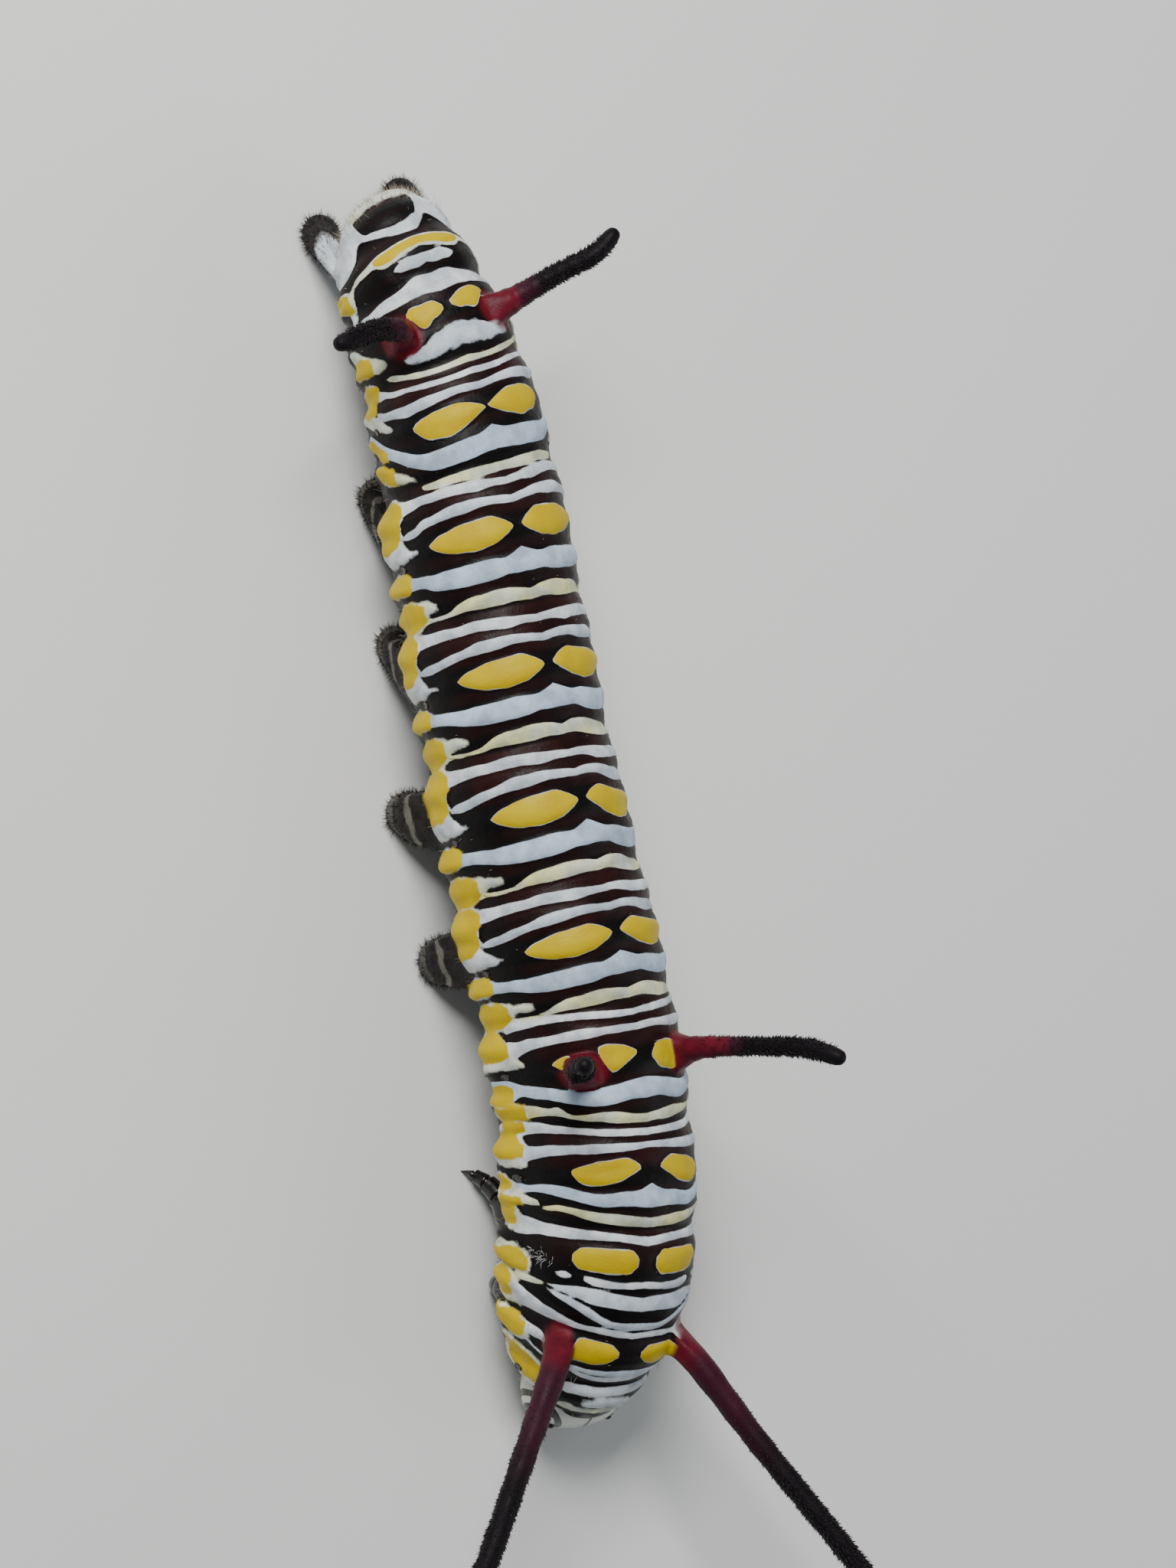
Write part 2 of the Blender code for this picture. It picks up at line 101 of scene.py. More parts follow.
def blend(column, u):
    """Value of one column of the folds at u, on a smooth curve through the folds."""
    values = FOLDS[:, FOLD_COLUMNS.index(column)]
    u = np.asarray(u, float)
    k = np.clip(np.floor(u).astype(int), 0, LAST - 1)
    t = u - k
    before, here, there, after = (values[np.clip(k + step, 0, LAST)] for step in (-1, 0, 1, 2))
    slope_here = (there - before) / np.where(k > 0, 2, 1)
    slope_there = (after - here) / np.where(k < LAST - 1, 2, 1)
    return ((2 * t ** 3 - 3 * t ** 2 + 1) * here + (t ** 3 - 2 * t ** 2 + t) * slope_here
            + (3 * t ** 2 - 2 * t ** 3) * there + (t ** 3 - t ** 2) * slope_there)


def centre(u):
    """Middle of the body at u, in millimetres."""
    return np.stack([blend("side", u) - MIDDLE_SIDE, blend("along", u) - MIDDLE_ALONG,
                     blend("height", u)], axis=-1)


def axes(u):
    """Directions at u: up through the back, level to the left, and along to the tail."""
    lean, turn = np.radians(blend("lean", u)), np.radians(blend("turn", u))
    up = np.stack([-np.sin(lean) * np.sin(turn), -np.sin(lean) * np.cos(turn), np.cos(lean)], axis=-1)
    left = np.stack([np.cos(turn), -np.sin(turn), np.zeros_like(turn)], axis=-1)
    return up, left, np.cross(up, left)


print("length along the back in mm:",
      round(float(np.linalg.norm(np.diff(centre(np.linspace(0, LAST, 200)), axis=0), axis=1).sum()), 1))

# %% [markdown]
# ## The relief of the skin
#
# The skin is drawn in at each fold, carries four shallow ripples between two folds, and swells into
# rows of soft lobes along each flank. A displacement texture could do this, but the lobes have to sit
# exactly under their yellow marks, so the relief is a formula of the same two numbers.

# %% Height of the skin over a plain tube
USUAL_LENGTH = 3.9
FOLD_DEPTH, FOLD_SPREAD = 0.15, 0.27
RIPPLE, RIPPLES = 0.035, 4
BELLY_FLAT, BELLY_SPREAD = 0.09, 55
FLANK_ANGLE, FLANK_SPREAD = 103, 18
# place along the body and height of the ridge along each flank; below 0 the flank is drawn in
FLANK_RIDGE = ((0, 0.03), (2, 0.17), (4.3, 0.17), (5, 0.05), (6.2, 0.03), (6.8, -0.16), (9.8, -0.16),
               (10.5, 0.0), (13, 0.0))
# place along a ring, spread and height of each soft lobe
FLANK_LOBES = ((0.04, 0.08, 0.12), (0.27, 0.085, 0.20), (0.60, 0.10, 0.28), (0.79, 0.09, 0.27))


def bump(x, middle, spread):
    """A smooth hump, 1 at the middle."""
    return np.exp(-((x - middle) / spread) ** 2)


def ring_length(u):
    """Length of a ring of the body near u."""
    return blend("along", u + 0.5) - blend("along", u - 0.5)


def relief(u, phi):
    """Height of the skin in millimetres over a plain tube."""
    t = u % 1.0
    share = np.minimum(1, ring_length(u) / USUAL_LENGTH)
    groove = -FOLD_DEPTH * bump(np.minimum(t, 1 - t) * ring_length(u), 0, FOLD_SPREAD)
    ripple = RIPPLE * share ** 2 * np.cos(2 * math.pi * RIPPLES * t)
    lobe = sum(high * (bump(t, at, wide) + bump(t, at + 1, wide)) for at, wide, high in FLANK_LOBES)
    ridge = np.interp(u, *zip(*FLANK_RIDGE))
    flank = (share * lobe + ridge) * bump(np.abs(phi), FLANK_ANGLE, FLANK_SPREAD)
    belly = -BELLY_FLAT * blend("half_width", u) * bump(np.abs(phi), 180, BELLY_SPREAD)
    return groove + ripple + flank + belly


print("height of the skin at a fold of the back in mm:", round(float(relief(5.0, 0.0)), 3))

# %% Points of the whole skin, rounded off at the tail and curled in behind the head
TAIL_DEPTH, TAIL_ROUNDNESS = 0.45, 0.8
SKIN_START, SKIN_END = -0.7, LAST + 1
# the skin curls in behind the head: rings past the neck, millimetres forwards, share of the width
CURL = np.array(((0, 0, 1), (0.1, 0.09, 0.97), (0.2, 0.13, 0.92), (0.3, 0.09, 0.86),
                 (0.45, -0.15, 0.80), (0.6, -0.3, 0.5), (0.7, -0.3, 0)))


def column_of(values):
    """The same values as a column, to multiply directions by."""
    return np.asarray(values)[..., None]


def skin_points(u, phi):
    """Points of the skin in millimetres. Below 0 the skin curls in, above 13 it closes the tail."""
    u, phi = np.broadcast_arrays(np.asarray(u, float), np.asarray(phi, float))
    at = np.clip(u, 0, LAST)
    up, left, back = axes(at)
    angle = np.radians(phi - blend("roll", at))
    past = np.clip(u - LAST, 0, 1) * math.pi / 2
    curled = np.clip(-u, 0, None)
    share = np.cos(past) ** TAIL_ROUNDNESS * np.interp(curled, CURL[:, 0], CURL[:, 2])
    shift = TAIL_DEPTH * np.sin(past) - np.interp(curled, CURL[:, 0], CURL[:, 1])
    reach = (blend("half_width", at) + relief(at, phi)) * share
    return (centre(at) + column_of(shift) * back
            + column_of(reach * np.cos(angle)) * up - column_of(reach * np.sin(angle)) * left)


print("end of the tail in mm:", skin_points(SKIN_END, 0).round(2).tolist())

# %% [markdown]
# ## One skin
#
# The skin starts as a flat grid that is wrapped round the body, so every corner of it knows its two
# numbers. They stay on the mesh as attributes, and the pattern is worked out from them later. The back
# and flanks get narrower faces than the belly, because the pattern's edges need them.

# %% Selecting, and reading and writing a mesh


def clear():
    """Deselect everything."""
    bpy.ops.object.select_all(action="DESELECT")


def only(piece):
    """Select one piece alone and make it active."""
    clear()
    piece.select_set(True)
    bpy.context.view_layer.objects.active = piece


def read(mesh, name):
    """Values of a mesh's vertex attribute."""
    values = np.zeros(len(mesh.vertices), np.float32)
    mesh.attributes[name].data.foreach_get("value", values)
    return values.astype(float)


def write(mesh, name, values):
    """Set a mesh's vertex attribute, made on its first use."""
    found = mesh.attributes.get(name) or mesh.attributes.new(name, "FLOAT", "POINT")
    found.data.foreach_set("value", np.asarray(values, np.float32))


def places(mesh):
    """The vertices' places in millimetres."""
    spots = np.zeros(len(mesh.vertices) * 3, np.float32)
    mesh.vertices.foreach_get("co", spots)
    return spots.reshape(-1, 3).astype(float) / MM


def place(mesh, spots):
    """Put the vertices at places given in millimetres."""
    mesh.vertices.foreach_set("co", (np.asarray(spots) * MM).astype(np.float32).ravel())
    mesh.update()


# %% Wrap a grid round the body
ROW_PITCH = 0.082
WALK_ANGLE, WALK_STEPS = 60.0, 3000
SEAM_GAP = 2e-6
COLUMNS = 124
COLUMN_STOPS = (-1.0, -0.72, 0.72, 1.0)
COLUMN_ANGLES = (-180, -110, 110, 180)
fine = np.linspace(SKIN_START, SKIN_END, WALK_STEPS)
walk = np.linalg.norm(np.diff(skin_points(fine, WALK_ANGLE), axis=0), axis=1)
distance = np.concatenate([[0], np.cumsum(walk)])
rows = round(distance[-1] / ROW_PITCH)
clear()
bpy.ops.mesh.primitive_grid_add(x_subdivisions=COLUMNS, y_subdivisions=rows, size=2)
skin = bpy.context.object
skin.name = "skin"
sheet = places(skin.data) * MM
grid_phi = np.interp(sheet[:, 0], COLUMN_STOPS, COLUMN_ANGLES)
grid_u = np.interp((sheet[:, 1] + 1) / 2 * distance[-1], distance, fine)
write(skin.data, "u", grid_u)
write(skin.data, "phi", grid_phi)
write(skin.data, "share", np.zeros(len(grid_u)))
place(skin.data, skin_points(grid_u, grid_phi))
only(skin)
bpy.ops.object.mode_set(mode="EDIT")
bpy.ops.mesh.select_all(action="SELECT")
bpy.ops.mesh.remove_doubles(threshold=SEAM_GAP)
bpy.ops.mesh.normals_make_consistent(inside=False)
bpy.ops.object.mode_set(mode="OBJECT")
print("skin:", rows, "rows,", len(skin.data.vertices), "corners")

# %% [markdown]
# ## Filaments and prolegs
#
# Both are outgrowths of the skin, with no seam. By hand they would be pulled out of it: pick a patch of
# faces, extrude it once, cut the new walls into rings, and move each ring to its place along the limb.
# The limbs' roots and paths are short tables, as a maker of models would note them down.

# %% Roots and paths
# u and phi of the root, its half length in rings and half width in degrees; then points given by their
# distance out, how far behind the root they lie and their height; then the half thickness along it, and
# how far the tip swings back on the right and on the left side
FILAMENTS = {
    "front": ((1.74, 46, 0.20, 10), ((2.50, -1.7, 5.00), (3.95, -4.0, 5.80), (5.80, -6.8, 6.90),
                                     (7.35, -9.0, 7.50), (8.45, -10.5, 7.70)),
              (0.45, 0.39, 0.35, 0.33, 0.32, 0.31, 0.29, 0.25), 0.0, 0.0),
    "middle": ((4.50, 37, 0.14, 9), ((2.25, 0.05, 6.9), (2.95, 0.0, 8.6), (3.65, -0.05, 10.1),
                                     (4.10, -0.2, 11.0)),
               (0.44, 0.34, 0.29, 0.26, 0.26, 0.28, 0.26), 0.7, -0.5),
    "rear": ((10.42, 40, 0.17, 11), ((2.1, 0.5, 5.45), (3.2, 0.6, 6.2), (4.2, 0.45, 6.8),
                                     (4.8, 0.3, 7.0)),
             (0.48, 0.36, 0.30, 0.28, 0.28, 0.25), 0.2, 1.2),
}
# the root as above, then the knee's distance out, behind and height, and the foot's out and behind
PROLEGS = {
    "3": ((5.54, 131, 0.23, 17), (2.50, 0.0, 0.80), (2.43, 0.0)),
    "4": ((6.58, 132, 0.23, 17), (2.45, 0.2, 0.80), (2.35, 0.4)),
    "5": ((7.62, 139, 0.22, 15), (1.72, 0.6, 0.65), (1.52, 1.1)),
    "6": ((8.66, 143, 0.21, 15), (1.45, 0.8, 0.60), (1.20, 1.4)),
    "tail": ((12.62, 128, 0.22, 17), (1.55, 0.55, 0.75), (1.50, 1.20)),
}
# the last pair stands turned: the left foot so far out and back from its place, the right one as far
# the other way
STANCE = {"tail": (0.55, 0.25)}
PROLEG_FOOT = 0.64
FOOT_ROLL = 0.10
SOLE_SHARE = 0.86
SIDES = ((-1, "right"), (1, "left"))


def beside(u, side, out, behind, height):
    """Point at a distance out from the middle line, behind the ring at u and above the floor."""
    _, left, back = axes(u)
    level_back = np.array([back[0], back[1], 0]) / math.hypot(back[0], back[1])
    spot = centre(u) + side * out * left + behind * level_back
    return np.array([spot[0], spot[1], height])


def curve(points, count):
    """Evenly spaced points on a smooth curve through the given ones."""
    points = np.array(points)
    ends = np.vstack([points[0], points, points[-1]])
    t = np.linspace(0, 1, 40, endpoint=False)[:, None]
    runs = []
    for before, here, there, after in zip(ends, ends[1:], ends[2:], ends[3:]):
        square = 2 * before - 5 * here + 4 * there - after
        cube = 3 * here - before - 3 * there + after
        runs.append(0.5 * (2 * here + (there - before) * t + square * t ** 2 + cube * t ** 3))
    line = np.vstack(runs + [points[-1:]])
    far = np.concatenate([[0], np.cumsum(np.linalg.norm(np.diff(line, axis=0), axis=1))])
    want = np.linspace(0, far[-1], count)
    return np.stack([np.interp(want, far, line[:, k]) for k in range(3)], axis=-1)


def patch_centre(side, root, stands):
    """u and phi where a limb is rooted; what stands on the floor keeps level with its fellow."""
    return root[0], -side * root[1] + (float(blend("roll", root[0])) if stands else 0)


print("limbs:", 2 * len(FILAMENTS), "filaments and", 2 * len(PROLEGS), "prolegs")

# %% The list of limbs
limbs = []
for side, word in SIDES:
    for pair, (root, path, radii, right_swing, left_swing) in FILAMENTS.items():
        limbs.append({"name": f"filament_{pair}_{word}", "side": side, "root": root, "path": path,
                      "radii": radii, "swing": right_swing if side < 0 else left_swing, "stands": False})
    for pair, (root, knee, foot) in PROLEGS.items():
        aside, behind = STANCE.get(pair, (0, 0))
        knee = (knee[0] + side * aside / 2, knee[1] + side * behind / 2, knee[2])
        foot = (foot[0] + side * aside, foot[1] + side * behind)
        limbs.append({"name": f"proleg_{pair}_{word}", "side": side, "root": root, "knee": knee,
                      "foot": foot, "stands": True})
print("first and last limb:", limbs[0]["name"], limbs[-1]["name"])

# %% Find and mark the patches


def face_corners(mesh):
    """For each face: the index of its first corner and how many it has; and each corner's vertex."""
    corners = np.zeros(len(mesh.loops), np.int32)
    starts = np.zeros(len(mesh.polygons), np.int32)
    totals = np.zeros(len(mesh.polygons), np.int32)
    mesh.loops.foreach_get("vertex_index", corners)
    mesh.polygons.foreach_get("loop_start", starts)
    mesh.polygons.foreach_get("loop_total", totals)
    return corners, starts, totals


def patch_faces(mesh, limb):
    """The faces of a limb's patch, while it is still part of the plain skin."""
    corners, starts, totals = face_corners(mesh)
    mean_u, mean_phi, mean_share = (np.add.reduceat(read(mesh, name)[corners], starts) / totals
                                    for name in ("u", "phi", "share"))
    at, angle = patch_centre(limb["side"], limb["root"], limb["stands"])
    return ((np.abs(mean_u - at) < limb["root"][2]) & (np.abs(mean_phi - angle) < limb["root"][3])
            & (mean_share == 0))


def mark_patches(mesh):
    """Give the corners of each patch its limb's number and their place in the patch, from -1 to 1."""
    u, phi = read(mesh, "u"), read(mesh, "phi")
    marks = np.zeros((3, len(u)))
    corners, _, totals = face_corners(mesh)
    for k, limb in enumerate(limbs, 1):
        spots = np.unique(corners[np.repeat(patch_faces(mesh, limb), totals)])
        marks[0, spots] = k
        for values, out in ((u, marks[1]), (phi, marks[2])):
            low, high = values[spots].min(), values[spots].max()
            out[spots] = 2 * (values[spots] - low) / (high - low) - 1
    for name, values in zip(("limb", "along", "round"), marks):
        write(mesh, name, values)


mark_patches(skin.data)
print("corners in patches:", int((read(skin.data, "limb") > 0).sum()))

# %% Pull the limbs out of the skin
FILAMENT_RINGS = 70
PROLEG_RINGS = 22


def pull_out(piece, faces, rings):
    """Extrude the chosen faces and cut their new walls into rings, marked from 0 to 1."""
    mesh = piece.data
    mesh.vertices.foreach_set("select", np.zeros(len(mesh.vertices), bool))
    mesh.edges.foreach_set("select", np.zeros(len(mesh.edges), bool))
    mesh.polygons.foreach_set("select", faces)
    only(piece)
    bpy.ops.object.mode_set(mode="EDIT")
    bpy.ops.mesh.select_mode(type="FACE")
    bpy.ops.mesh.extrude_region_move(TRANSFORM_OT_translate={"value": (0, 0, 0)})
    shape = bmesh.from_edit_mesh(mesh)
    share = shape.verts.layers.float["share"]
    for vert in shape.verts:
        if vert.select:
            vert[share] = 1
    bpy.ops.mesh.select_all(action="DESELECT")
    bpy.ops.mesh.select_mode(type="EDGE")
    for edge in shape.edges:
        if sorted(vert[share] for vert in edge.verts) == [0, 1]:
            edge.select_set(True)
    bmesh.update_edit_mesh(mesh)
    bpy.ops.mesh.subdivide(number_cuts=rings)
    bpy.ops.mesh.select_all(action="DESELECT")
    bpy.ops.object.mode_set(mode="OBJECT")


for stands, rings in ((False, FILAMENT_RINGS), (True, PROLEG_RINGS)):
    faces = sum(patch_faces(skin.data, limb) for limb in limbs if limb["stands"] == stands) > 0
    pull_out(skin, faces, rings)
    print("pulled out", int(faces.sum()), "faces;", len(skin.data.vertices), "corners")

# %% [markdown]
# The rings are still where the skin was. Each limb now gets its shape: close to the skin a ring keeps the
# outline of the patch, so that the root flows out of the body, and further on it turns round. Filaments
# follow their curve and end in a blunt tip. A proleg comes level on its way down and rolls under into a
# flat sole.

# %% The shape of a filament
ROOT_SHARE = 0.10
RIB_HEIGHT, RIB_PITCH = 0.03, 61


def unit(vectors):
    """The same directions with a length of 1."""
    return vectors / np.linalg.norm(vectors, axis=-1, keepdims=True)


def shape_filament(limb, u, phi, along, round_it, share):
    """Places of a filament's corners."""
    at, angle = patch_centre(limb["side"], limb["root"], False)
    base = skin_points(at, angle)
    count = len(limb["path"])
    points = [base]
    for k, (out, behind, height) in enumerate(limb["path"], 1):
        points.append(beside(at, limb["side"], out, behind + limb["swing"] * (k / count) ** 2, height))
    line = curve(points, 101)
    headings = unit(np.gradient(line, axis=0))
    tailward = skin_points(at + limb["root"][2], angle) - base
    spot, heading = (np.stack([np.interp(share * 100, np.arange(101), values[:, k]) for k in range(3)],
                              axis=-1) for values in (line, headings))
    heading = unit(heading)
    first = unit(tailward - column_of((tailward * heading).sum(axis=-1)) * heading)
    second = np.cross(heading, first)
    turn = np.arctan2(round_it, along)
    rim = np.maximum(np.abs(along), np.abs(round_it))
    radius = np.interp(share, np.linspace(0, 1, len(limb["radii"])), limb["radii"])
    own = np.clip(share / ROOT_SHARE, 0, 1)
    own = own * own * (3 - 2 * own)
    swell = radius * (1 + RIB_HEIGHT * np.sin(share * RIB_PITCH) * np.clip(share * 8, 0, 1))
    circle = column_of(swell * rim) * (column_of(np.cos(turn)) * first + column_of(np.sin(turn)) * second)
    tip = column_of(limb["radii"][-1] * np.sqrt(np.clip(1 - rim ** 2, 0, 1)) * (share == 1)) * heading
    start = skin_points(u, phi) - base
    return spot + start * (1 - column_of(own)) + circle * column_of(own) + tip


# %% The shape of a proleg
FOOT_SHARE = 0.86
PROLEG_FOLDS, PROLEG_FOLD_DEPTH = 3.5, 0.025


def shape_proleg(limb, u, phi, along, round_it, share):
    """Places of a proleg's corners, down to the rolled edge of its sole."""
    at, angle = patch_centre(limb["side"], limb["root"], True)
    base = skin_points(at, angle)
    bend = beside(at, limb["side"], *limb["knee"])
    sole = beside(at, limb["side"], *limb["foot"], FOOT_ROLL)
    t = np.clip(share / FOOT_SHARE, 0, 1)
    roll = np.clip((share - FOOT_SHARE) / (1 - FOOT_SHARE), 0, 1) * math.pi / 2
    tailward = skin_points(at + limb["root"][2], angle) - base
    first = unit(np.array([tailward[0], tailward[1], 0]))
    second = np.array([first[1], -first[0], 0])
    turn = np.arctan2(round_it, along)
    rim = np.maximum(np.abs(along), np.abs(round_it))
    fold = 1 + PROLEG_FOLD_DEPTH * np.sin(2 * math.pi * PROLEG_FOLDS * t) * np.sin(math.pi * t)
    radius = PROLEG_FOOT * rim * (SOLE_SHARE + (1 - SOLE_SHARE) * np.cos(roll))
    circle = column_of(radius) * (column_of(np.cos(turn)) * first + column_of(np.sin(turn)) * second)
    start = skin_points(u, phi) - base
    middle = (column_of((1 - t) ** 2) * base + column_of(2 * t * (1 - t)) * bend + column_of(t ** 2) * sole)
    spots = middle + column_of(fold) * (start * column_of(1 - t) + circle * column_of(t))
    spots[:, 2] -= FOOT_ROLL * np.sin(roll)
    return spots


# %% Give the limbs their shape
body_u, body_phi, share = (read(skin.data, name) for name in ("u", "phi", "share"))
limb_of, along, round_it = (read(skin.data, name) for name in ("limb", "along", "round"))
spots = skin_points(body_u, body_phi)
for k, limb in enumerate(limbs, 1):
    own = (np.round(limb_of) == k) & (share > 0)
    shape = shape_proleg if limb["stands"] else shape_filament
    spots[own] = shape(limb, body_u[own], body_phi[own], along[own], round_it[own], share[own])
place(skin.data, spots)
print("lowest point of the skin in mm:", round(float(spots[:, 2].min()), 3))

# %% [markdown]
# Where a limb leaves the body there is still a crease with the patch's square outline. A few passes of
# smoothing over that strip alone round it off, as a finger would in clay.

# %% Smooth the roots
SMOOTH_REACH = 1.35
SMOOTH_SHARE = 0.07
SMOOTH_PASSES = 8


def near_roots():
    """Corners of the skin round each root, and the first rings of the limb."""
    near = (share > 0) & (share < SMOOTH_SHARE)
    for limb in limbs:
        at, angle = patch_centre(limb["side"], limb["root"], limb["stands"])
        near |= ((np.abs(body_u - at) < SMOOTH_REACH * limb["root"][2]) & (share == 0)
                 & (np.abs(body_phi - angle) < SMOOTH_REACH * limb["root"][3]))
    return near


only(skin)
near = near_roots()
bpy.ops.object.mode_set(mode="EDIT")
bpy.ops.mesh.select_mode(type="VERT")
bpy.ops.mesh.select_all(action="DESELECT")
bpy.ops.object.mode_set(mode="OBJECT")
skin.data.vertices.foreach_set("select", near)
bpy.ops.object.mode_set(mode="EDIT")
bpy.ops.mesh.vertices_smooth(factor=0.5, repeat=SMOOTH_PASSES)
bpy.ops.mesh.select_all(action="DESELECT")
bpy.ops.object.mode_set(mode="OBJECT")
bpy.ops.object.shade_smooth()
skin.data.calc_loop_triangles()
print("smoothed", int(near.sum()), "corners;", len(skin.data.loop_triangles), "triangles in the skin")

# %% [markdown]
# ## The pattern
#
# The animal is black with bluish white cross bands, a pair of yellow spots on every ring and yellow
# blotches on the lobes of the flank. On a real model it would be painted by eye. Each mark here is a
# short table, read off the animal like a dressmaker's chart: at an angle down from the middle of the
# back, the mark starts at one place along the ring and ends at another. Between the rows its edges are
# smooth curves.

# %% Tints of the marks and the marks that four rings share
BLUE, BLUISH, WHITE, CREAMY, CREAM = -0.8, -0.3, 0.0, 0.5, 0.8
CRISP, SOFT = 0.0, 1.0

# a tint for the pale ones, how soft the edge is, and rows of angle, front and rear, in rings behind
# the front fold
RING_PALE = (
    (CREAM, CRISP, ((0, .01, .085), (10, .02, .115), (20, .015, .125), (30, .015, .115), (40, .02, .105),
                    (46, .02, .08), (52, .01, .045), (58, .005, .03), (66, 0, .025), (75, 0, .025),
                    (80, -.01, .01))),
    (BLUE, CRISP, ((0, .21, .385), (5, .21, .36), (12, .215, .335), (20, .20, .345), (35, .195, .34),
                   (50, .20, .335), (60, .22, .33), (70, .245, .335), (80, .255, .34), (88, .25, .345),
                   (100, .235, .37), (112, .24, .36), (118, .29, .30))),
    (BLUISH, CRISP, ((0, .70, .755), (10, .715, .775), (20, .72, .79), (30, .705, .79), (40, .70, .785),
                     (50, .69, .75), (60, .665, .73), (70, .64, .70), (80, .625, .68), (84, .63, .66),
                     (87, .64, .645))),
    (WHITE, CRISP, ((0, .845, .895), (10, .85, .91), (20, .84, .925), (30, .855, .935), (40, .86, .94),
                    (50, .855, .925), (60, .85, .925), (70, .835, .92), (78, .82, .92), (85, .80, .93),
                    (92, .78, .95))),
    (CREAMY, SOFT, ((60, .08, .11), (65, .07, .13), (72, .065, .145), (80, 0, .16), (85, -.05, .165),
                    (92, -.09, .17), (100, -.11, .145), (107, -.08, .09), (112, -.03, .02))),
    (WHITE, SOFT, ((72, .515, .52), (76, .50, .53), (80, .485, .55), (85, .475, .60), (88, .465, .66),
                   (95, .46, .70), (105, .45, .70), (115, .47, .66), (118, .55, .56))),
    (CREAMY, SOFT, ((80, .82, .92), (86, .79, .95), (92, .75, .97), (97, .70, .96), (105, .69, .93),
                    (112, .70, .88), (118, .76, .80))))
RING_YELLOW = (
    (CRISP, ((3, .535, .545), (6, .50, .58), (10, .475, .61), (15, .445, .64), (22, .43, .64),
             (28, .42, .635), (35, .43, .63), (40, .435, .62), (46, .455, .60), (50, .475, .59),
             (54, .50, .565), (57, .53, .54))),
    (SOFT, ((79, .03, .12), (84, -.01, .15), (92, -.05, .16), (101, -.06, .15), (110, -.03, .12),
            (116, .01, .08))),
    (SOFT, ((85, .27, .33), (89, .25, .36), (97, .24, .375), (107, .24, .375), (115, .26, .35),
            (119, .29, .32))),
    (SOFT, ((83, .82, .88), (86, .68, .91), (90, .61, .93), (97, .585, .93), (106, .57, .91),
            (114, .59, .88), (119, .63, .80))))

# %% Marks of the thorax
# from here on the rows give the place along the whole body
THORAX_PALE = (
    (WHITE, CRISP, ((0, .74, .96), (15, .73, .95), (30, .72, .95), (38, .72, .95), (43, .76, .90))),
    (WHITE, SOFT, ((0, .44, .69), (10, .40, .66), (18, .40, .62), (24, .45, .55))),
    (CREAMY, SOFT, ((0, .1, .35), (20, .08, .36), (40, .12, .38), (48, .2, .3))),
    (CREAMY, SOFT, ((57, .80, 1.10), (62, .45, 1.2), (70, .3, 1.30), (80, .2, 1.33), (90, .15, 1.4),
                    (100, .15, 1.3), (108, .2, 1.1), (114, .5, .8))),
    (WHITE, CRISP, ((0, 1.08, 1.225), (20, 1.10, 1.24), (30, 1.16, 1.29), (38, 1.28, 1.36))),
    (BLUISH, CRISP, ((0, 1.25, 1.41), (20, 1.27, 1.40), (30, 1.31, 1.41), (38, 1.37, 1.41))),
    (WHITE, CRISP, ((55, 1.70, 1.80), (62, 1.68, 1.83), (70, 1.67, 1.85), (76, 1.66, 1.85),
                    (82, 1.6, 1.88))),
    (WHITE, CRISP, ((57, 1.38, 1.42), (65, 1.45, 1.51), (73, 1.53, 1.61), (78, 1.55, 1.7))),
    (CREAMY, SOFT, ((70, 1.55, 1.8), (78, 1.45, 1.87), (85, 1.42, 1.90), (92, 1.45, 1.90),
                    (99, 1.5, 1.85), (105, 1.6, 1.7))),
    (WHITE, CRISP, ((0, 1.95, 2.02), (20, 1.99, 2.07), (40, 2.02, 2.09), (50, 2.03, 2.15),
                    (60, 2.04, 2.20), (75, 2.04, 2.28), (85, 2.02, 2.32), (98, 2.0, 2.3))),
    (BLUISH, CRISP, ((0, 2.06, 2.15), (10, 2.07, 2.15), (20, 2.10, 2.18), (30, 2.17, 2.27),
                     (40, 2.25, 2.33), (50, 2.31, 2.365), (60, 2.37, 2.375))),
    (BLUISH, CRISP, ((0, 2.28, 2.41), (20, 2.31, 2.45), (30, 2.32, 2.47), (40, 2.36, 2.47),
                     (50, 2.39, 2.45), (60, 2.42, 2.43))),
    (WHITE, CRISP, ((0, 2.50, 2.56), (20, 2.49, 2.55), (30, 2.5, 2.57), (38, 2.54, 2.58))),
    (WHITE, CRISP, ((45, 2.55, 2.57), (50, 2.53, 2.59), (57, 2.55, 2.56))),
    (WHITE, CRISP, ((0, 2.87, 2.95), (20, 2.91, 2.98), (60, 2.9, 3.02), (70, 2.9, 3.03),
                    (80, 2.87, 3.06), (90, 2.86, 3.08))),
    (CREAMY, SOFT, ((82, 2.02, 2.35), (88, 1.98, 2.42), (95, 1.95, 2.45), (103, 1.98, 2.42),
                    (112, 2.1, 2.3))),
    (CREAM, CRISP, ((62, 2.41, 2.43), (72, 2.38, 2.45), (80, 2.37, 2.46), (86, 2.37, 2.46))),
    (CREAMY, SOFT, ((73, 2.5, 2.58), (77, 2.47, 2.68), (84, 2.46, 2.73), (92, 2.46, 2.75),
                    (100, 2.48, 2.75), (108, 2.55, 2.68))))
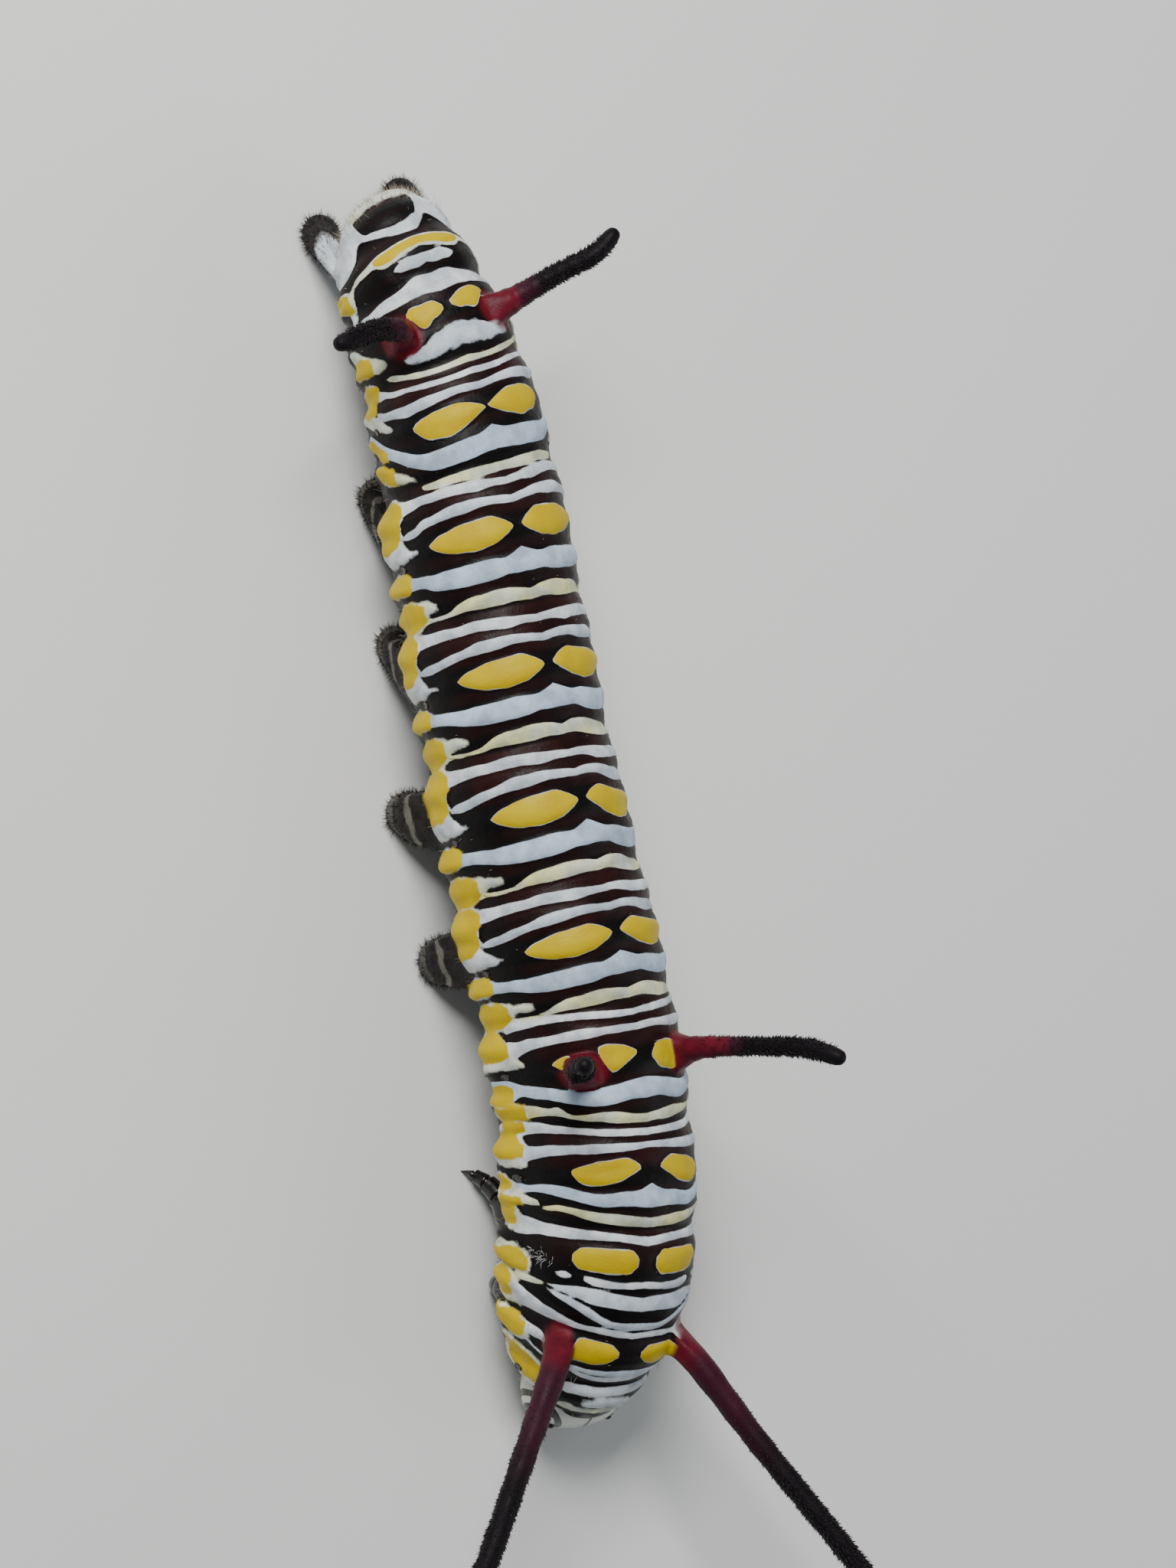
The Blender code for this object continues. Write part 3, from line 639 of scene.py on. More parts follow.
THORAX_YELLOW = (
    (SOFT, ((60, .72, .98), (66, .64, 1.12), (74, .60, 1.22), (84, .62, 1.27), (92, .72, 1.25),
            (98, .9, 1.2))),
    (CRISP, ((8, 1.7, 1.76), (12, 1.6, 1.85), (20, 1.53, 1.89), (28, 1.52, 1.905), (36, 1.56, 1.905),
             (38.5, 1.6, 1.88))),
    (SOFT, ((74, 1.6, 1.8), (80, 1.56, 1.85), (88, 1.55, 1.87), (95, 1.58, 1.8))),
    (CRISP, ((6, 2.70, 2.76), (9, 2.64, 2.82), (16, 2.62, 2.84), (28, 2.62, 2.845), (38, 2.63, 2.84),
             (43, 2.65, 2.82), (46, 2.71, 2.76))),
    (SOFT, ((88, 2.15, 2.35), (93, 2.1, 2.42), (100, 2.1, 2.4), (107, 2.15, 2.3))),
    (SOFT, ((76, 2.52, 2.60), (84, 2.49, 2.68), (92, 2.48, 2.68), (100, 2.5, 2.62))))

# %% Marks of the first two abdominal rings
FRONT_RINGS_PALE = (
    (CREAMY, SOFT, ((85, 2.88, 3.08), (90, 2.88, 3.22), (98, 2.9, 3.27), (108, 2.95, 3.25),
                    (116, 3.05, 3.15))),
    (CREAM, CRISP, ((0, 3.04, 3.13), (10, 3.05, 3.15), (20, 3.06, 3.17), (30, 3.08, 3.18),
                    (40, 3.11, 3.20), (50, 3.16, 3.23), (58, 3.18, 3.24), (64, 3.17, 3.22),
                    (69, 3.19, 3.2))),
    (CREAMY, CRISP, ((70, 3.22, 3.27), (75, 3.21, 3.29), (80, 3.21, 3.31), (88, 3.21, 3.33))),
    (BLUE, CRISP, ((0, 3.23, 3.46), (6, 3.24, 3.41), (20, 3.25, 3.385), (30, 3.24, 3.37),
                   (40, 3.27, 3.385), (50, 3.31, 3.43), (60, 3.34, 3.455), (70, 3.36, 3.45),
                   (80, 3.35, 3.43), (90, 3.3, 3.46))),
    (CREAMY, SOFT, ((82, 3.3, 3.42), (88, 3.24, 3.44), (95, 3.24, 3.53), (105, 3.27, 3.56),
                    (114, 3.35, 3.5))),
    (BLUISH, CRISP, ((0, 3.79, 3.84), (10, 3.78, 3.845), (20, 3.775, 3.85), (35, 3.77, 3.86),
                     (50, 3.775, 3.86), (60, 3.765, 3.865), (70, 3.74, 3.86), (78, 3.70, 3.86),
                     (84, 3.64, 3.88))),
    (WHITE, CRISP, ((0, 3.90, 3.955), (15, 3.91, 3.97), (30, 3.93, 3.99), (45, 3.96, 4.02),
                    (60, 3.98, 4.06), (70, 3.985, 4.09), (78, 3.98, 4.10), (86, 3.95, 4.12))),
    (CREAMY, SOFT, ((80, 3.63, 3.86), (86, 3.62, 3.99), (95, 3.63, 4.09), (105, 3.66, 4.06),
                    (113, 3.72, 3.98), (118, 3.8, 3.9))),
    (CREAM, CRISP, ((0, 4.01, 4.08), (10, 4.02, 4.10), (20, 4.03, 4.13), (30, 4.06, 4.14),
                    (40, 4.08, 4.135), (48, 4.11, 4.15), (54, 4.14, 4.22), (60, 4.15, 4.22),
                    (70, 4.15, 4.25), (80, 4.12, 4.27), (90, 4.11, 4.26))),
    (CREAMY, SOFT, ((76, 4.13, 4.26), (84, 4.11, 4.28), (92, 4.10, 4.27), (100, 4.12, 4.24),
                    (106, 4.14, 4.18))),
    (BLUE, CRISP, ((0, 4.21, 4.38), (10, 4.22, 4.37), (20, 4.20, 4.355), (30, 4.195, 4.34),
                   (40, 4.22, 4.345), (50, 4.26, 4.37), (60, 4.30, 4.405), (70, 4.32, 4.43),
                   (80, 4.34, 4.46), (88, 4.27, 4.50), (95, 4.25, 4.50), (105, 4.27, 4.49),
                   (115, 4.3, 4.42), (119, 4.35, 4.38))),
    (WHITE, CRISP, ((0, 4.755, 4.81), (20, 4.77, 4.83), (35, 4.765, 4.85), (50, 4.77, 4.84),
                    (60, 4.76, 4.84), (68, 4.74, 4.84), (76, 4.70, 4.83), (84, 4.63, 4.84))),
    (WHITE, CRISP, ((0, 4.875, 4.92), (15, 4.89, 4.945), (30, 4.92, 4.975), (45, 4.94, 4.99),
                    (60, 4.94, 5.0), (70, 4.93, 5.0), (78, 4.92, 5.0), (86, 4.9, 5.0))),
    (CREAMY, SOFT, ((74, 4.61, 4.64), (80, 4.60, 4.72), (88, 4.60, 4.85), (95, 4.59, 4.98),
                    (105, 4.58, 4.98), (114, 4.6, 4.9), (119, 4.7, 4.8))))
FRONT_RINGS_YELLOW = (
    (SOFT, ((90, 2.95, 3.18), (98, 2.94, 3.22), (108, 2.98, 3.2))),
    (SOFT, ((92, 3.36, 3.45), (98, 3.35, 3.52), (108, 3.36, 3.5))),
    (SOFT, ((84, 3.22, 3.26), (92, 3.21, 3.28))),
    (CRISP, ((7, 3.60, 3.63), (10, 3.57, 3.67), (15, 3.53, 3.71), (20, 3.49, 3.71), (26, 3.465, 3.70),
             (33, 3.45, 3.69), (40, 3.46, 3.66), (45, 3.50, 3.64), (49, 3.585, 3.61))),
    (SOFT, ((82, 3.76, 3.84), (88, 3.74, 3.94), (95, 3.74, 4.0), (105, 3.78, 3.98), (112, 3.82, 3.92))),
    (SOFT, ((82, 4.02, 4.08), (90, 3.98, 4.1))),
    (SOFT, ((78, 4.14, 4.25), (86, 4.13, 4.27), (92, 4.13, 4.24))),
    (SOFT, ((86, 4.3, 4.42), (94, 4.28, 4.45), (104, 4.3, 4.43))),
    (SOFT, ((83, 4.72, 4.80), (90, 4.69, 4.9), (98, 4.68, 4.95), (108, 4.69, 4.88))))

# %% Marks of the last four rings
REAR_RINGS_PALE = (
    (CREAM, CRISP, ((0, 8.955, 9.02), (20, 8.94, 9.025), (35, 8.95, 9.02), (45, 8.945, 9.01),
                    (55, 8.97, 9.0))),
    (CREAMY, SOFT, ((58, 9.05, 9.09), (65, 9.07, 9.13), (72, 9.08, 9.19), (80, 9.08, 9.22),
                    (86, 9.1, 9.27), (90, 9.15, 9.3))),
    (BLUE, CRISP, ((0, 9.13, 9.335), (8, 9.12, 9.29), (20, 9.10, 9.27), (35, 9.09, 9.25),
                   (45, 9.10, 9.25), (52, 9.14, 9.27), (60, 9.19, 9.32), (70, 9.28, 9.39),
                   (80, 9.33, 9.48), (88, 9.34, 9.56), (95, 9.42, 9.62), (100, 9.5, 9.58))),
    (BLUISH, CRISP, ((0, 9.67, 9.735), (15, 9.68, 9.75), (30, 9.66, 9.75), (45, 9.64, 9.745),
                     (52, 9.63, 9.74), (62, 9.66, 9.75), (70, 9.68, 9.76), (78, 9.7, 9.8))),
    (WHITE, CRISP, ((0, 9.825, 9.885), (20, 9.815, 9.87), (35, 9.83, 9.885), (50, 9.86, 9.91),
                    (60, 9.87, 9.93), (70, 9.9, 9.98), (76, 9.88, 10.02))),
    (CREAM, CRISP, ((0, 9.95, 10.02), (20, 9.94, 9.99), (35, 9.95, 10.01), (50, 10.0, 10.05),
                    (58, 10.03, 10.09), (63, 10.06, 10.08))),
    (CREAMY, SOFT, ((66, 9.57, 9.58), (72, 9.57, 9.63), (80, 9.6, 9.78), (88, 9.64, 9.9),
                    (95, 9.7, 10.1), (102, 9.78, 10.1), (106, 9.9, 10.0))),
    (BLUISH, SOFT, ((0, 10.14, 10.38), (6, 10.12, 10.36), (12, 10.11, 10.33), (20, 10.10, 10.3),
                    (26, 10.09, 10.25), (34, 10.10, 10.21), (40, 10.11, 10.20), (43, 10.14, 10.17))),
    (CREAMY, SOFT, ((58, 10.2, 10.28), (65, 10.18, 10.33), (72, 10.18, 10.4), (78, 10.2, 10.47),
                    (85, 10.22, 10.57), (90, 10.28, 10.6), (95, 10.4, 10.6))),
    (WHITE, CRISP, ((0, 10.77, 11.05), (15, 10.79, 11.06), (25, 10.78, 11.0), (35, 10.77, 10.96),
                    (50, 10.76, 10.93), (60, 10.74, 10.88), (68, 10.78, 10.89), (74, 10.83, 10.87))),
    (WHITE, CRISP, ((0, 11.22, 11.38), (8, 11.18, 11.38), (15, 11.19, 11.40), (22, 11.2, 11.34),
                    (27, 11.25, 11.29))),
    (CREAMY, CRISP, ((0, 11.52, 11.76), (15, 11.45, 11.74), (25, 11.40, 11.71), (35, 11.4, 11.69),
                     (40, 11.48, 11.66), (50, 11.47, 11.6), (60, 11.44, 11.55), (66, 11.38, 11.48),
                     (72, 11.1, 11.45), (75, 11.06, 11.5), (80, 11.08, 11.55), (88, 11.15, 11.6),
                     (96, 11.25, 11.6), (104, 11.35, 11.55))),
    (WHITE, SOFT, ((75, 10.9, 11.0), (80, 10.86, 11.1), (85, 10.92, 11.1))),
    (WHITE, CRISP, ((0, 11.91, 12.12), (10, 11.93, 12.15), (20, 12.03, 12.22), (28, 12.12, 12.32),
                    (34, 12.2, 12.7), (42, 12.15, 13.3), (55, 11.95, 13.6), (65, 11.8, 13.6),
                    (100, 11.9, 13.6), (120, 12.2, 13.3))),
    (CREAMY, SOFT, ((0, 12.85, 13.6), (30, 12.8, 13.6), (60, 12.7, 13.6))))
REAR_RINGS_YELLOW = (
    (SOFT, ((75, 9.1, 9.2), (82, 9.11, 9.26), (87, 9.15, 9.27))),
    (SOFT, ((78, 9.33, 9.38), (85, 9.34, 9.46), (92, 9.39, 9.55), (97, 9.46, 9.55))),
    (CRISP, ((1, 9.49, 9.51), (5, 9.46, 9.54), (10, 9.42, 9.57), (20, 9.36, 9.60), (27, 9.33, 9.595),
             (35, 9.345, 9.585), (42, 9.36, 9.565), (47, 9.42, 9.54), (50, 9.48, 9.51))),
    (SOFT, ((80, 9.8, 9.86), (86, 9.79, 9.98), (92, 9.8, 10.08), (98, 9.84, 10.05))),
    (SOFT, ((76, 9.92, 10.06), (84, 9.9, 10.1), (90, 9.92, 10.12), (97, 9.95, 10.05))),
    (SOFT, ((72, 10.22, 10.36), (80, 10.22, 10.42), (87, 10.25, 10.42))),
    (CRISP, ((0, 11.55, 11.74), (15, 11.5, 11.71), (25, 11.44, 11.68), (34, 11.45, 11.66),
             (40, 11.52, 11.63))),
    (SOFT, ((76, 11.12, 11.4), (84, 11.15, 11.5), (92, 11.25, 11.55), (100, 11.35, 11.5))))

# %% Spots that differ between the two sides
RIGHT_SPOTS = (
    ((2, 4.58, 4.60), (6, 4.55, 4.63), (10, 4.52, 4.66), (15, 4.48, 4.68), (20, 4.465, 4.69),
     (23, 4.52, 4.69), (26, 4.62, 4.68)),
    ((42, 4.60, 4.63), (45, 4.56, 4.65), (49, 4.545, 4.645), (53, 4.58, 4.62), (55, 4.595, 4.605)),
    ((4, 10.55, 10.6), (8, 10.5, 10.67), (14, 10.47, 10.69), (19, 10.41, 10.68), (24, 10.43, 10.69),
     (28, 10.52, 10.68), (31, 10.58, 10.62)))
LEFT_SPOTS = (
    ((8, 4.53, 4.55), (12, 4.46, 4.62), (20, 4.43, 4.655), (27, 4.42, 4.66), (34, 4.44, 4.65),
     (38, 4.50, 4.60), (40, 4.54, 4.56)),
    ((3, 10.57, 10.62), (8, 10.51, 10.67), (14, 10.5, 10.71), (20, 10.46, 10.72), (26, 10.5, 10.72),
     (31, 10.58, 10.69), (35, 10.62, 10.65)))
print("marks:", sum(len(table) for table in (RING_PALE, RING_YELLOW, THORAX_PALE, THORAX_YELLOW,
                                             FRONT_RINGS_PALE, FRONT_RINGS_YELLOW, REAR_RINGS_PALE,
                                             REAR_RINGS_YELLOW, RIGHT_SPOTS, LEFT_SPOTS)))

# %% [markdown]
# From the tables, each corner of the skin gets its distance to the edge of the nearest pale and the
# nearest yellow mark, positive inside. A distance blends well between corners, so the edge that the
# material draws from it is far sharper than the mesh.

# %% Distance to the edge of a mark
USUAL_SKEW = ((-1, 0), (0, 0), (2, -.1), (2.7, 0), (3.5, -.03), (4.5, -.04), (5.5, -.09), (6.5, -.11),
              (7.5, -.05), (8.5, 0), (9.5, .05), (10.5, .05), (13, 0), (14, 0))
SHIELD_TURN = 12


def ease(values):
    """From 0 to 1 in a soft step."""
    t = np.clip(values, 0, 1)
    return t * t * (3 - 2 * t)


def pattern_place(u, phi):
    """Place on the right half's chart: the left half is the same, a little askew down its flank."""
    skew = np.array(USUAL_SKEW)
    down = np.where(phi < 0, ease(-phi / 40), 0) * (1 - ease((np.abs(phi) - 95) / 30))
    turned = phi - SHIELD_TURN * ease((u - 11.8) / 0.5)
    return u - np.interp(u, skew[:, 0], skew[:, 1]) * down, np.abs(turned)


def smooth_rows(angle, rows):
    """Front and rear edge of a mark at an angle."""
    table = np.array(rows, float)
    angles, edges = table[:, 0], table[:, 1:]
    slopes = np.gradient(edges, angles, axis=0)
    k = np.clip(np.searchsorted(angles, angle) - 1, 0, len(angles) - 2)
    width = column_of(angles[k + 1] - angles[k])
    t = np.clip((column_of(angle) - column_of(angles[k])) / width, 0, 1)
    return ((2 * t ** 3 - 3 * t ** 2 + 1) * edges[k] + (t ** 3 - 2 * t ** 2 + t) * width * slopes[k]
            + (3 * t ** 2 - 2 * t ** 3) * edges[k + 1] + (t ** 3 - t ** 2) * width * slopes[k + 1]).T


def inside(u, angle, rows):
    """Distance in millimetres from the edge of a mark, positive inside."""
    front, rear = smooth_rows(angle, rows)
    first, last = rows[0][0], rows[-1][0]
    degree = blend("half_width", np.clip(u, 0, LAST)) * math.pi / 180
    gap = np.minimum(u - front, rear - u) * ring_length(np.clip(u, 0.5, LAST - 0.5))
    if first > 0:
        gap = np.minimum(gap, (angle - first) * degree)
    return np.minimum(gap, (last - angle) * degree)


spot_depth = inside(np.array([1.72]), np.array([25.0]), THORAX_YELLOW[1][1])[0]
print("the middle of a spot lies", round(float(spot_depth), 2), "mm inside its edge")

# %% Lay the marks on the skin
TYPICAL_RINGS = (5, 6, 7, 8)
RIM = 0.01
# soft yellow marks run on by so many degrees below their last row, and spread by so many millimetres
RUN_ON = 7
SPREAD = 0.06
FAR = -3.0
# the flank's marks of ring 8 lie higher by this many degrees
LIFTS = {8: 8}


def moved(rows, rings, lift):
    """A mark of a typical ring moved to another ring, with its rows on the flank lifted."""
    return tuple((angle - (lift * ease((angle - 60) / 15) if lift else 0), front + rings, rear + rings)
                 for angle, front, rear in rows)


def all_marks():
    """Every pale and yellow mark of the right half as (tint, softness, rows)."""
    pale = list(THORAX_PALE + FRONT_RINGS_PALE + REAR_RINGS_PALE)
    yellow = list(THORAX_YELLOW + FRONT_RINGS_YELLOW + REAR_RINGS_YELLOW)
    for ring in TYPICAL_RINGS:
        lift = LIFTS.get(ring, 0)
        pale += [(tint, soft, moved(rows, ring, lift)) for tint, soft, rows in RING_PALE]
        yellow += [(soft, moved(rows, ring, lift)) for soft, rows in RING_YELLOW]
    return pale, yellow


def paint(u, phi):
    """Distances to pale and yellow, and the tint and softness of the nearest pale mark."""
    at, angle = pattern_place(u, phi)
    pale, yellow = np.full(len(u), FAR), np.full(len(u), FAR)
    tint, soft = np.zeros(len(u)), np.zeros(len(u))
    pale_marks, yellow_marks = all_marks()
    for own_tint, own_soft, rows in pale_marks:
        gap = inside(at, angle, rows)
        nearer = gap > pale
        pale, tint, soft = (np.where(nearer, new, old)
                            for new, old in ((gap, pale), (own_tint, tint), (own_soft, soft)))
    for own_soft, rows in yellow_marks:
        if own_soft == SOFT:
            last, front, rear = rows[-1]
            rows = rows + ((last + RUN_ON, front, rear),)
        gap = inside(at, angle, rows) + SPREAD * own_soft
        yellow = np.maximum(yellow, gap - (RIM if own_soft == CRISP else 0))
        soft = np.where(gap > pale, own_soft, soft)
        pale = np.maximum(pale, gap)
    for side, spots_of_side in ((1, RIGHT_SPOTS), (-1, LEFT_SPOTS)):
        for rows in spots_of_side:
            gap = np.where(phi * side > 0, inside(at, angle, rows), FAR)
            yellow = np.maximum(yellow, gap - RIM)
            soft = np.where(gap > pale, CRISP, soft)
            pale = np.maximum(pale, gap)
    return pale, yellow, tint, soft


pale, yellow, tint, soft = paint(body_u, body_phi)
for name, values in (("pale", pale), ("yellow", yellow), ("tint", tint), ("soft", soft)):
    write(skin.data, name, values)
print("share of the skin that is pale:", round(float((pale > 0).mean()), 2))

# %% [markdown]
# Pigment and relief go together on this animal: the pale bands and the yellow spots stand a hair's
# breadth above the black, with a crease along their edges, and the soft lobes of the flank puff up under
# their blotches. The corners are pushed along their normals by a height that the same distances give.

# %% Puff up the pale marks
BAND_HEIGHT, SPOT_HEIGHT, LOBE_HEIGHT = 0.030, 0.020, 0.055
CREASE_DEPTH, CREASE_WIDTH, CREASE_PLACE = 0.018, 0.07, -0.06
BELLY_EDGE, BELLY_FADE = 118, 15
NECK_FADE, LIMB_FADE = 0.25, 0.03


def normals_of(mesh):
    """The vertices' outward directions."""
    found = np.zeros(len(mesh.vertices) * 3, np.float32)
    mesh.vertices.foreach_get("normal", found)
    return found.reshape(-1, 3).astype(float)


band = ease((pale + 0.05) / 0.16)
height = (BAND_HEIGHT * (1 - soft) + LOBE_HEIGHT * soft) * band + SPOT_HEIGHT * ease((yellow + 0.03) / 0.2)
height -= CREASE_DEPTH * bump(pale, CREASE_PLACE, CREASE_WIDTH)
height *= np.clip(1 - share / LIMB_FADE, 0, 1) * (1 - ease((np.abs(body_phi) - BELLY_EDGE) / BELLY_FADE))
height *= 1 - ease((NECK_FADE - body_u) / NECK_FADE)
bulge = places(skin.data) + column_of(height) * normals_of(skin.data)
place(skin.data, bulge)
print("raised by up to", round(float(height.max()), 3), "mm")

# %% [markdown]
# ## The finish of the skin
#
# The skin is soft, finely grained and faintly glossy. Its colours come from the distances above. Three
# effects are used by several materials, so each is a node group of its own: an edge that wanders a
# little, as pigment does between cells; a mottled shade; and the grain of the surface.

# %% A new material


def new_material(name):
    """A material with its node tree and its shader."""
    made = bpy.data.materials.new(name)
    made.use_nodes = True
    return made, made.node_tree, made.node_tree.nodes["Principled BSDF"]


def paint_piece(piece, material):
    """Give a piece one material."""
    piece.data.materials.clear()
    piece.data.materials.append(material)


# %% Small helpers for nodes


def add(tree, kind, **settings):
    """A node with some of its settings changed."""
    made = tree.nodes.new(kind)
    for key, value in settings.items():
        setattr(made, key, value)
    return made


def math_node(tree, operation, first, second=None, clamp=False):
    """A Math node; each input is a number or another node's output. Returns its output."""
    made = add(tree, "ShaderNodeMath", operation=operation, use_clamp=clamp)
    for socket, value in zip(made.inputs, (first, second)):
        if value is None:
            continue
        if isinstance(value, (int, float)):
            socket.default_value = value
        else:
            tree.links.new(value, socket)
    return made.outputs[0]


def times(tree, first, second):
    """First times second."""
    return math_node(tree, "MULTIPLY", first, second)


def plus(tree, first, second):
    """First plus second."""
    return math_node(tree, "ADD", first, second)


def rest_of(tree, value):
    """What is left of 1."""
    return math_node(tree, "SUBTRACT", 1.0, value)


def step_node(tree, value, low, high):
    """From 0 at low to 1 at high in a soft step; low and high are numbers or outputs."""
    made = add(tree, "ShaderNodeMapRange", interpolation_type="SMOOTHSTEP")
    tree.links.new(value, made.inputs["Value"])
    for key, edge in (("From Min", low), ("From Max", high)):
        if isinstance(edge, (int, float)):
            made.inputs[key].default_value = edge
        else:
            tree.links.new(edge, made.inputs[key])
    return made.outputs["Result"]


def mix_colour(tree, share, first, second):
    """Mix two colours; each is a tuple or an output."""
    made = add(tree, "ShaderNodeMix", data_type="RGBA")
    if isinstance(share, (int, float)):
        made.inputs["Factor"].default_value = share
    else:
        tree.links.new(share, made.inputs["Factor"])
    for socket, colour in ((made.inputs[6], first), (made.inputs[7], second)):
        if isinstance(colour, tuple):
            socket.default_value = (*colour, 1)
        else:
            tree.links.new(colour, socket)
    return made.outputs[2]


# %% Values from the mesh, noise and empty groups


def attribute(tree, name):
    """A value that each corner of the mesh carries."""
    return add(tree, "ShaderNodeAttribute", attribute_name=name).outputs["Fac"]


def new_group(name, inputs, outputs):
    """An empty node group with named inputs and outputs."""
    group = bpy.data.node_groups.new(name, "ShaderNodeTree")
    for label, value in inputs:
        socket = group.interface.new_socket(label, in_out="INPUT", socket_type="NodeSocketFloat")
        socket.default_value = value
    for label, kind in outputs:
        group.interface.new_socket(label, in_out="OUTPUT", socket_type=kind)
    return group, add(group, "NodeGroupInput"), add(group, "NodeGroupOutput")


def noise(tree, scale, detail=2.0, roughness=0.5):
    """Noise on the object's own coordinates; the scale is in cycles per millimetre."""
    coordinates = add(tree, "ShaderNodeTexCoord")
    made = add(tree, "ShaderNodeTexNoise", noise_dimensions="3D")
    tree.links.new(coordinates.outputs["Object"], made.inputs["Vector"])
    made.inputs["Detail"].default_value = detail
    made.inputs["Roughness"].default_value = roughness
    if isinstance(scale, (int, float)):
        made.inputs["Scale"].default_value = scale / MM
    else:
        tree.links.new(math_node(tree, "DIVIDE", scale, MM), made.inputs["Scale"])
    return made.outputs["Fac"]


# %% Group: an edge that wanders
ragged, ragged_in, ragged_out = new_group(
    "ragged edge", (("Distance", 0.0), ("Wobble", 0.04), ("Softness", 0.02), ("Scale", 2.5)),
    (("Mask", "NodeSocketFloat"),))
wander = noise(ragged, ragged_in.outputs["Scale"], 3.0, 0.55)
wander = times(ragged, math_node(ragged, "SUBTRACT", wander, 0.5), 2.0)
wander = times(ragged, wander, ragged_in.outputs["Wobble"])
moved_edge = plus(ragged, wander, ragged_in.outputs["Distance"])
low = times(ragged, ragged_in.outputs["Softness"], -1.0)
ragged.links.new(step_node(ragged, moved_edge, low, ragged_in.outputs["Softness"]),
                 ragged_out.inputs["Mask"])

# %% Group: a mottled shade
mottle, mottle_in, mottle_out = new_group(
    "mottle", (("Scale", 1.5), ("Low", 0.0), ("High", 1.0)), (("Value", "NodeSocketFloat"),))
cloud = step_node(mottle, noise(mottle, mottle_in.outputs["Scale"], 4.0, 0.6), 0.32, 0.68)
span = math_node(mottle, "SUBTRACT", mottle_in.outputs["High"], mottle_in.outputs["Low"])
mottle.links.new(plus(mottle, times(mottle, cloud, span), mottle_in.outputs["Low"]),
                 mottle_out.inputs["Value"])

# %% Group: grain
grain, grain_in, grain_out = new_group(
    "grain", (("Pores", 11.0), ("Creases", 2.6), ("Depth", 0.01)), (("Height", "NodeSocketFloat"),))
pores = noise(grain, grain_in.outputs["Pores"], 2.0, 0.6)
creases = noise(grain, grain_in.outputs["Creases"], 5.0, 0.62)
both = plus(grain, times(grain, pores, 0.45), creases)
grain.links.new(times(grain, both, grain_in.outputs["Depth"]), grain_out.inputs["Height"])
print("groups:", [group.name for group in bpy.data.node_groups])

# %% [markdown]
# Some shades follow the rings rather than a mark: the black turns maroon towards each rear fold, a
# crimson stain lies round the root of each filament, and the underside is a dull dark grey. These too
# are worked out for each corner.

# %% Shades that follow the rings
# how strong each maroon stripe is, where in a ring it starts and ends, and how fast it comes and goes
MAROON_STRIPES = ((1.0, 0.60, 0.985, 0.08, 0.02), (0.55, 0.10, 0.20, 0.04, 0.03),
                  (0.55, 0.35, 0.43, 0.03, 0.03), (0.9, -1.0, 0.0, 1.0, 0.03))
FLANK_BLACK, THORAX_BLACK = 0.75, 0.75
# reach of the crimson round each filament's root, along the body and round it in millimetres
STAINS = {"front": (0.55, 0.55), "middle": (0.66, 0.84), "rear": (0.66, 0.74)}
STAIN_SHIFT = {"front": 2, "middle": -1, "rear": 0}


def maroon_share(u, angle):
    """How far the black turns maroon: most behind the spots, none round them."""
    t = u % 1.0
    stripes = sum(strong * ease((t - start) / rise) * (1 - ease((t - end) / fall))
                  for strong, start, end, rise, fall in MAROON_STRIPES)
    flank = 1 - FLANK_BLACK * ease((angle - 57) / 12)
    abdomen = ease((u - 2.6) / 0.5) * (1 - 0.7 * ease((u - 10.2) / 0.6))
    return stripes * flank * (1 - THORAX_BLACK * (1 - abdomen))


def stain_share(u, phi):
    """Crimson round the roots of the filaments."""
    most = np.zeros(len(u))
    for limb in limbs:
        if limb["stands"]:
            continue
        pair = limb["name"].split("_")[1]
        at, angle = patch_centre(limb["side"], limb["root"], False)
        angle -= limb["side"] * STAIN_SHIFT[pair]
        stain_long, stain_wide = STAINS[pair]
        degree = blend("half_width", at) * math.pi / 180
        reach = np.hypot((u - at) * ring_length(at) / stain_long, (phi - angle) * degree / stain_wide)
        most = np.maximum(most, 1 - ease((reach - 0.72) / 0.30))
    return most


print("share of maroon behind a spot:", round(float(maroon_share(5.8, 20.0)), 2))

# %% Shades along the limbs
# where the crimson and the wine red of each pair fade out, and over which share of its length
FADES = {"front": ((-0.02, 0.20), (0.12, 0.40)), "middle": ((0.32, 0.12), (0.40, 0.10)),
         "rear": ((0.10, 0.22), (0.24, 0.26))}


def fading(share, start, over):
    """From 1 to 0 along a limb."""
    return 1 - ease((share - start) / over)


kinds = np.array([0] + [-1 if limb["stands"] else 1 for limb in limbs])[np.round(limb_of).astype(int)]
red, wine = np.ones(len(share)), np.ones(len(share))
tail_leg = np.zeros(len(share))
for k, limb in enumerate(limbs, 1):
    own = np.round(limb_of) == k
    if "tail" in limb["name"]:
        tail_leg[own] = 1
    if not limb["stands"]:
        fade = FADES[limb["name"].split("_")[1]]
        red[own], wine[own] = (fading(share[own], *ends) for ends in fade)
for name, values in (("maroon", maroon_share(*pattern_place(body_u, body_phi))),
                     ("stain", stain_share(body_u, body_phi)),
                     ("belly", ease((np.abs(body_phi) - BELLY_EDGE) / 12)),
                     ("red", red), ("wine", wine), ("tail_leg", tail_leg),
                     ("filament", np.where(kinds > 0, share, 0)),
                     ("proleg", np.where(kinds < 0, share, 0))):
    write(skin.data, name, values)
print("corners on filaments:", int((kinds > 0).sum()), "on prolegs:", int((kinds < 0).sum()))

# %% [markdown]
# The material reads these values and lays its colours over each other as a painter would: black first,
# then maroon, crimson, the bluish and creamy whites, the yellow, and last the colours of filaments and
# feet. White bands shade from bluish on the back to cream at the folds.

# %% The material of the skin
skin_paint, tree, surface = new_material("larva skin")


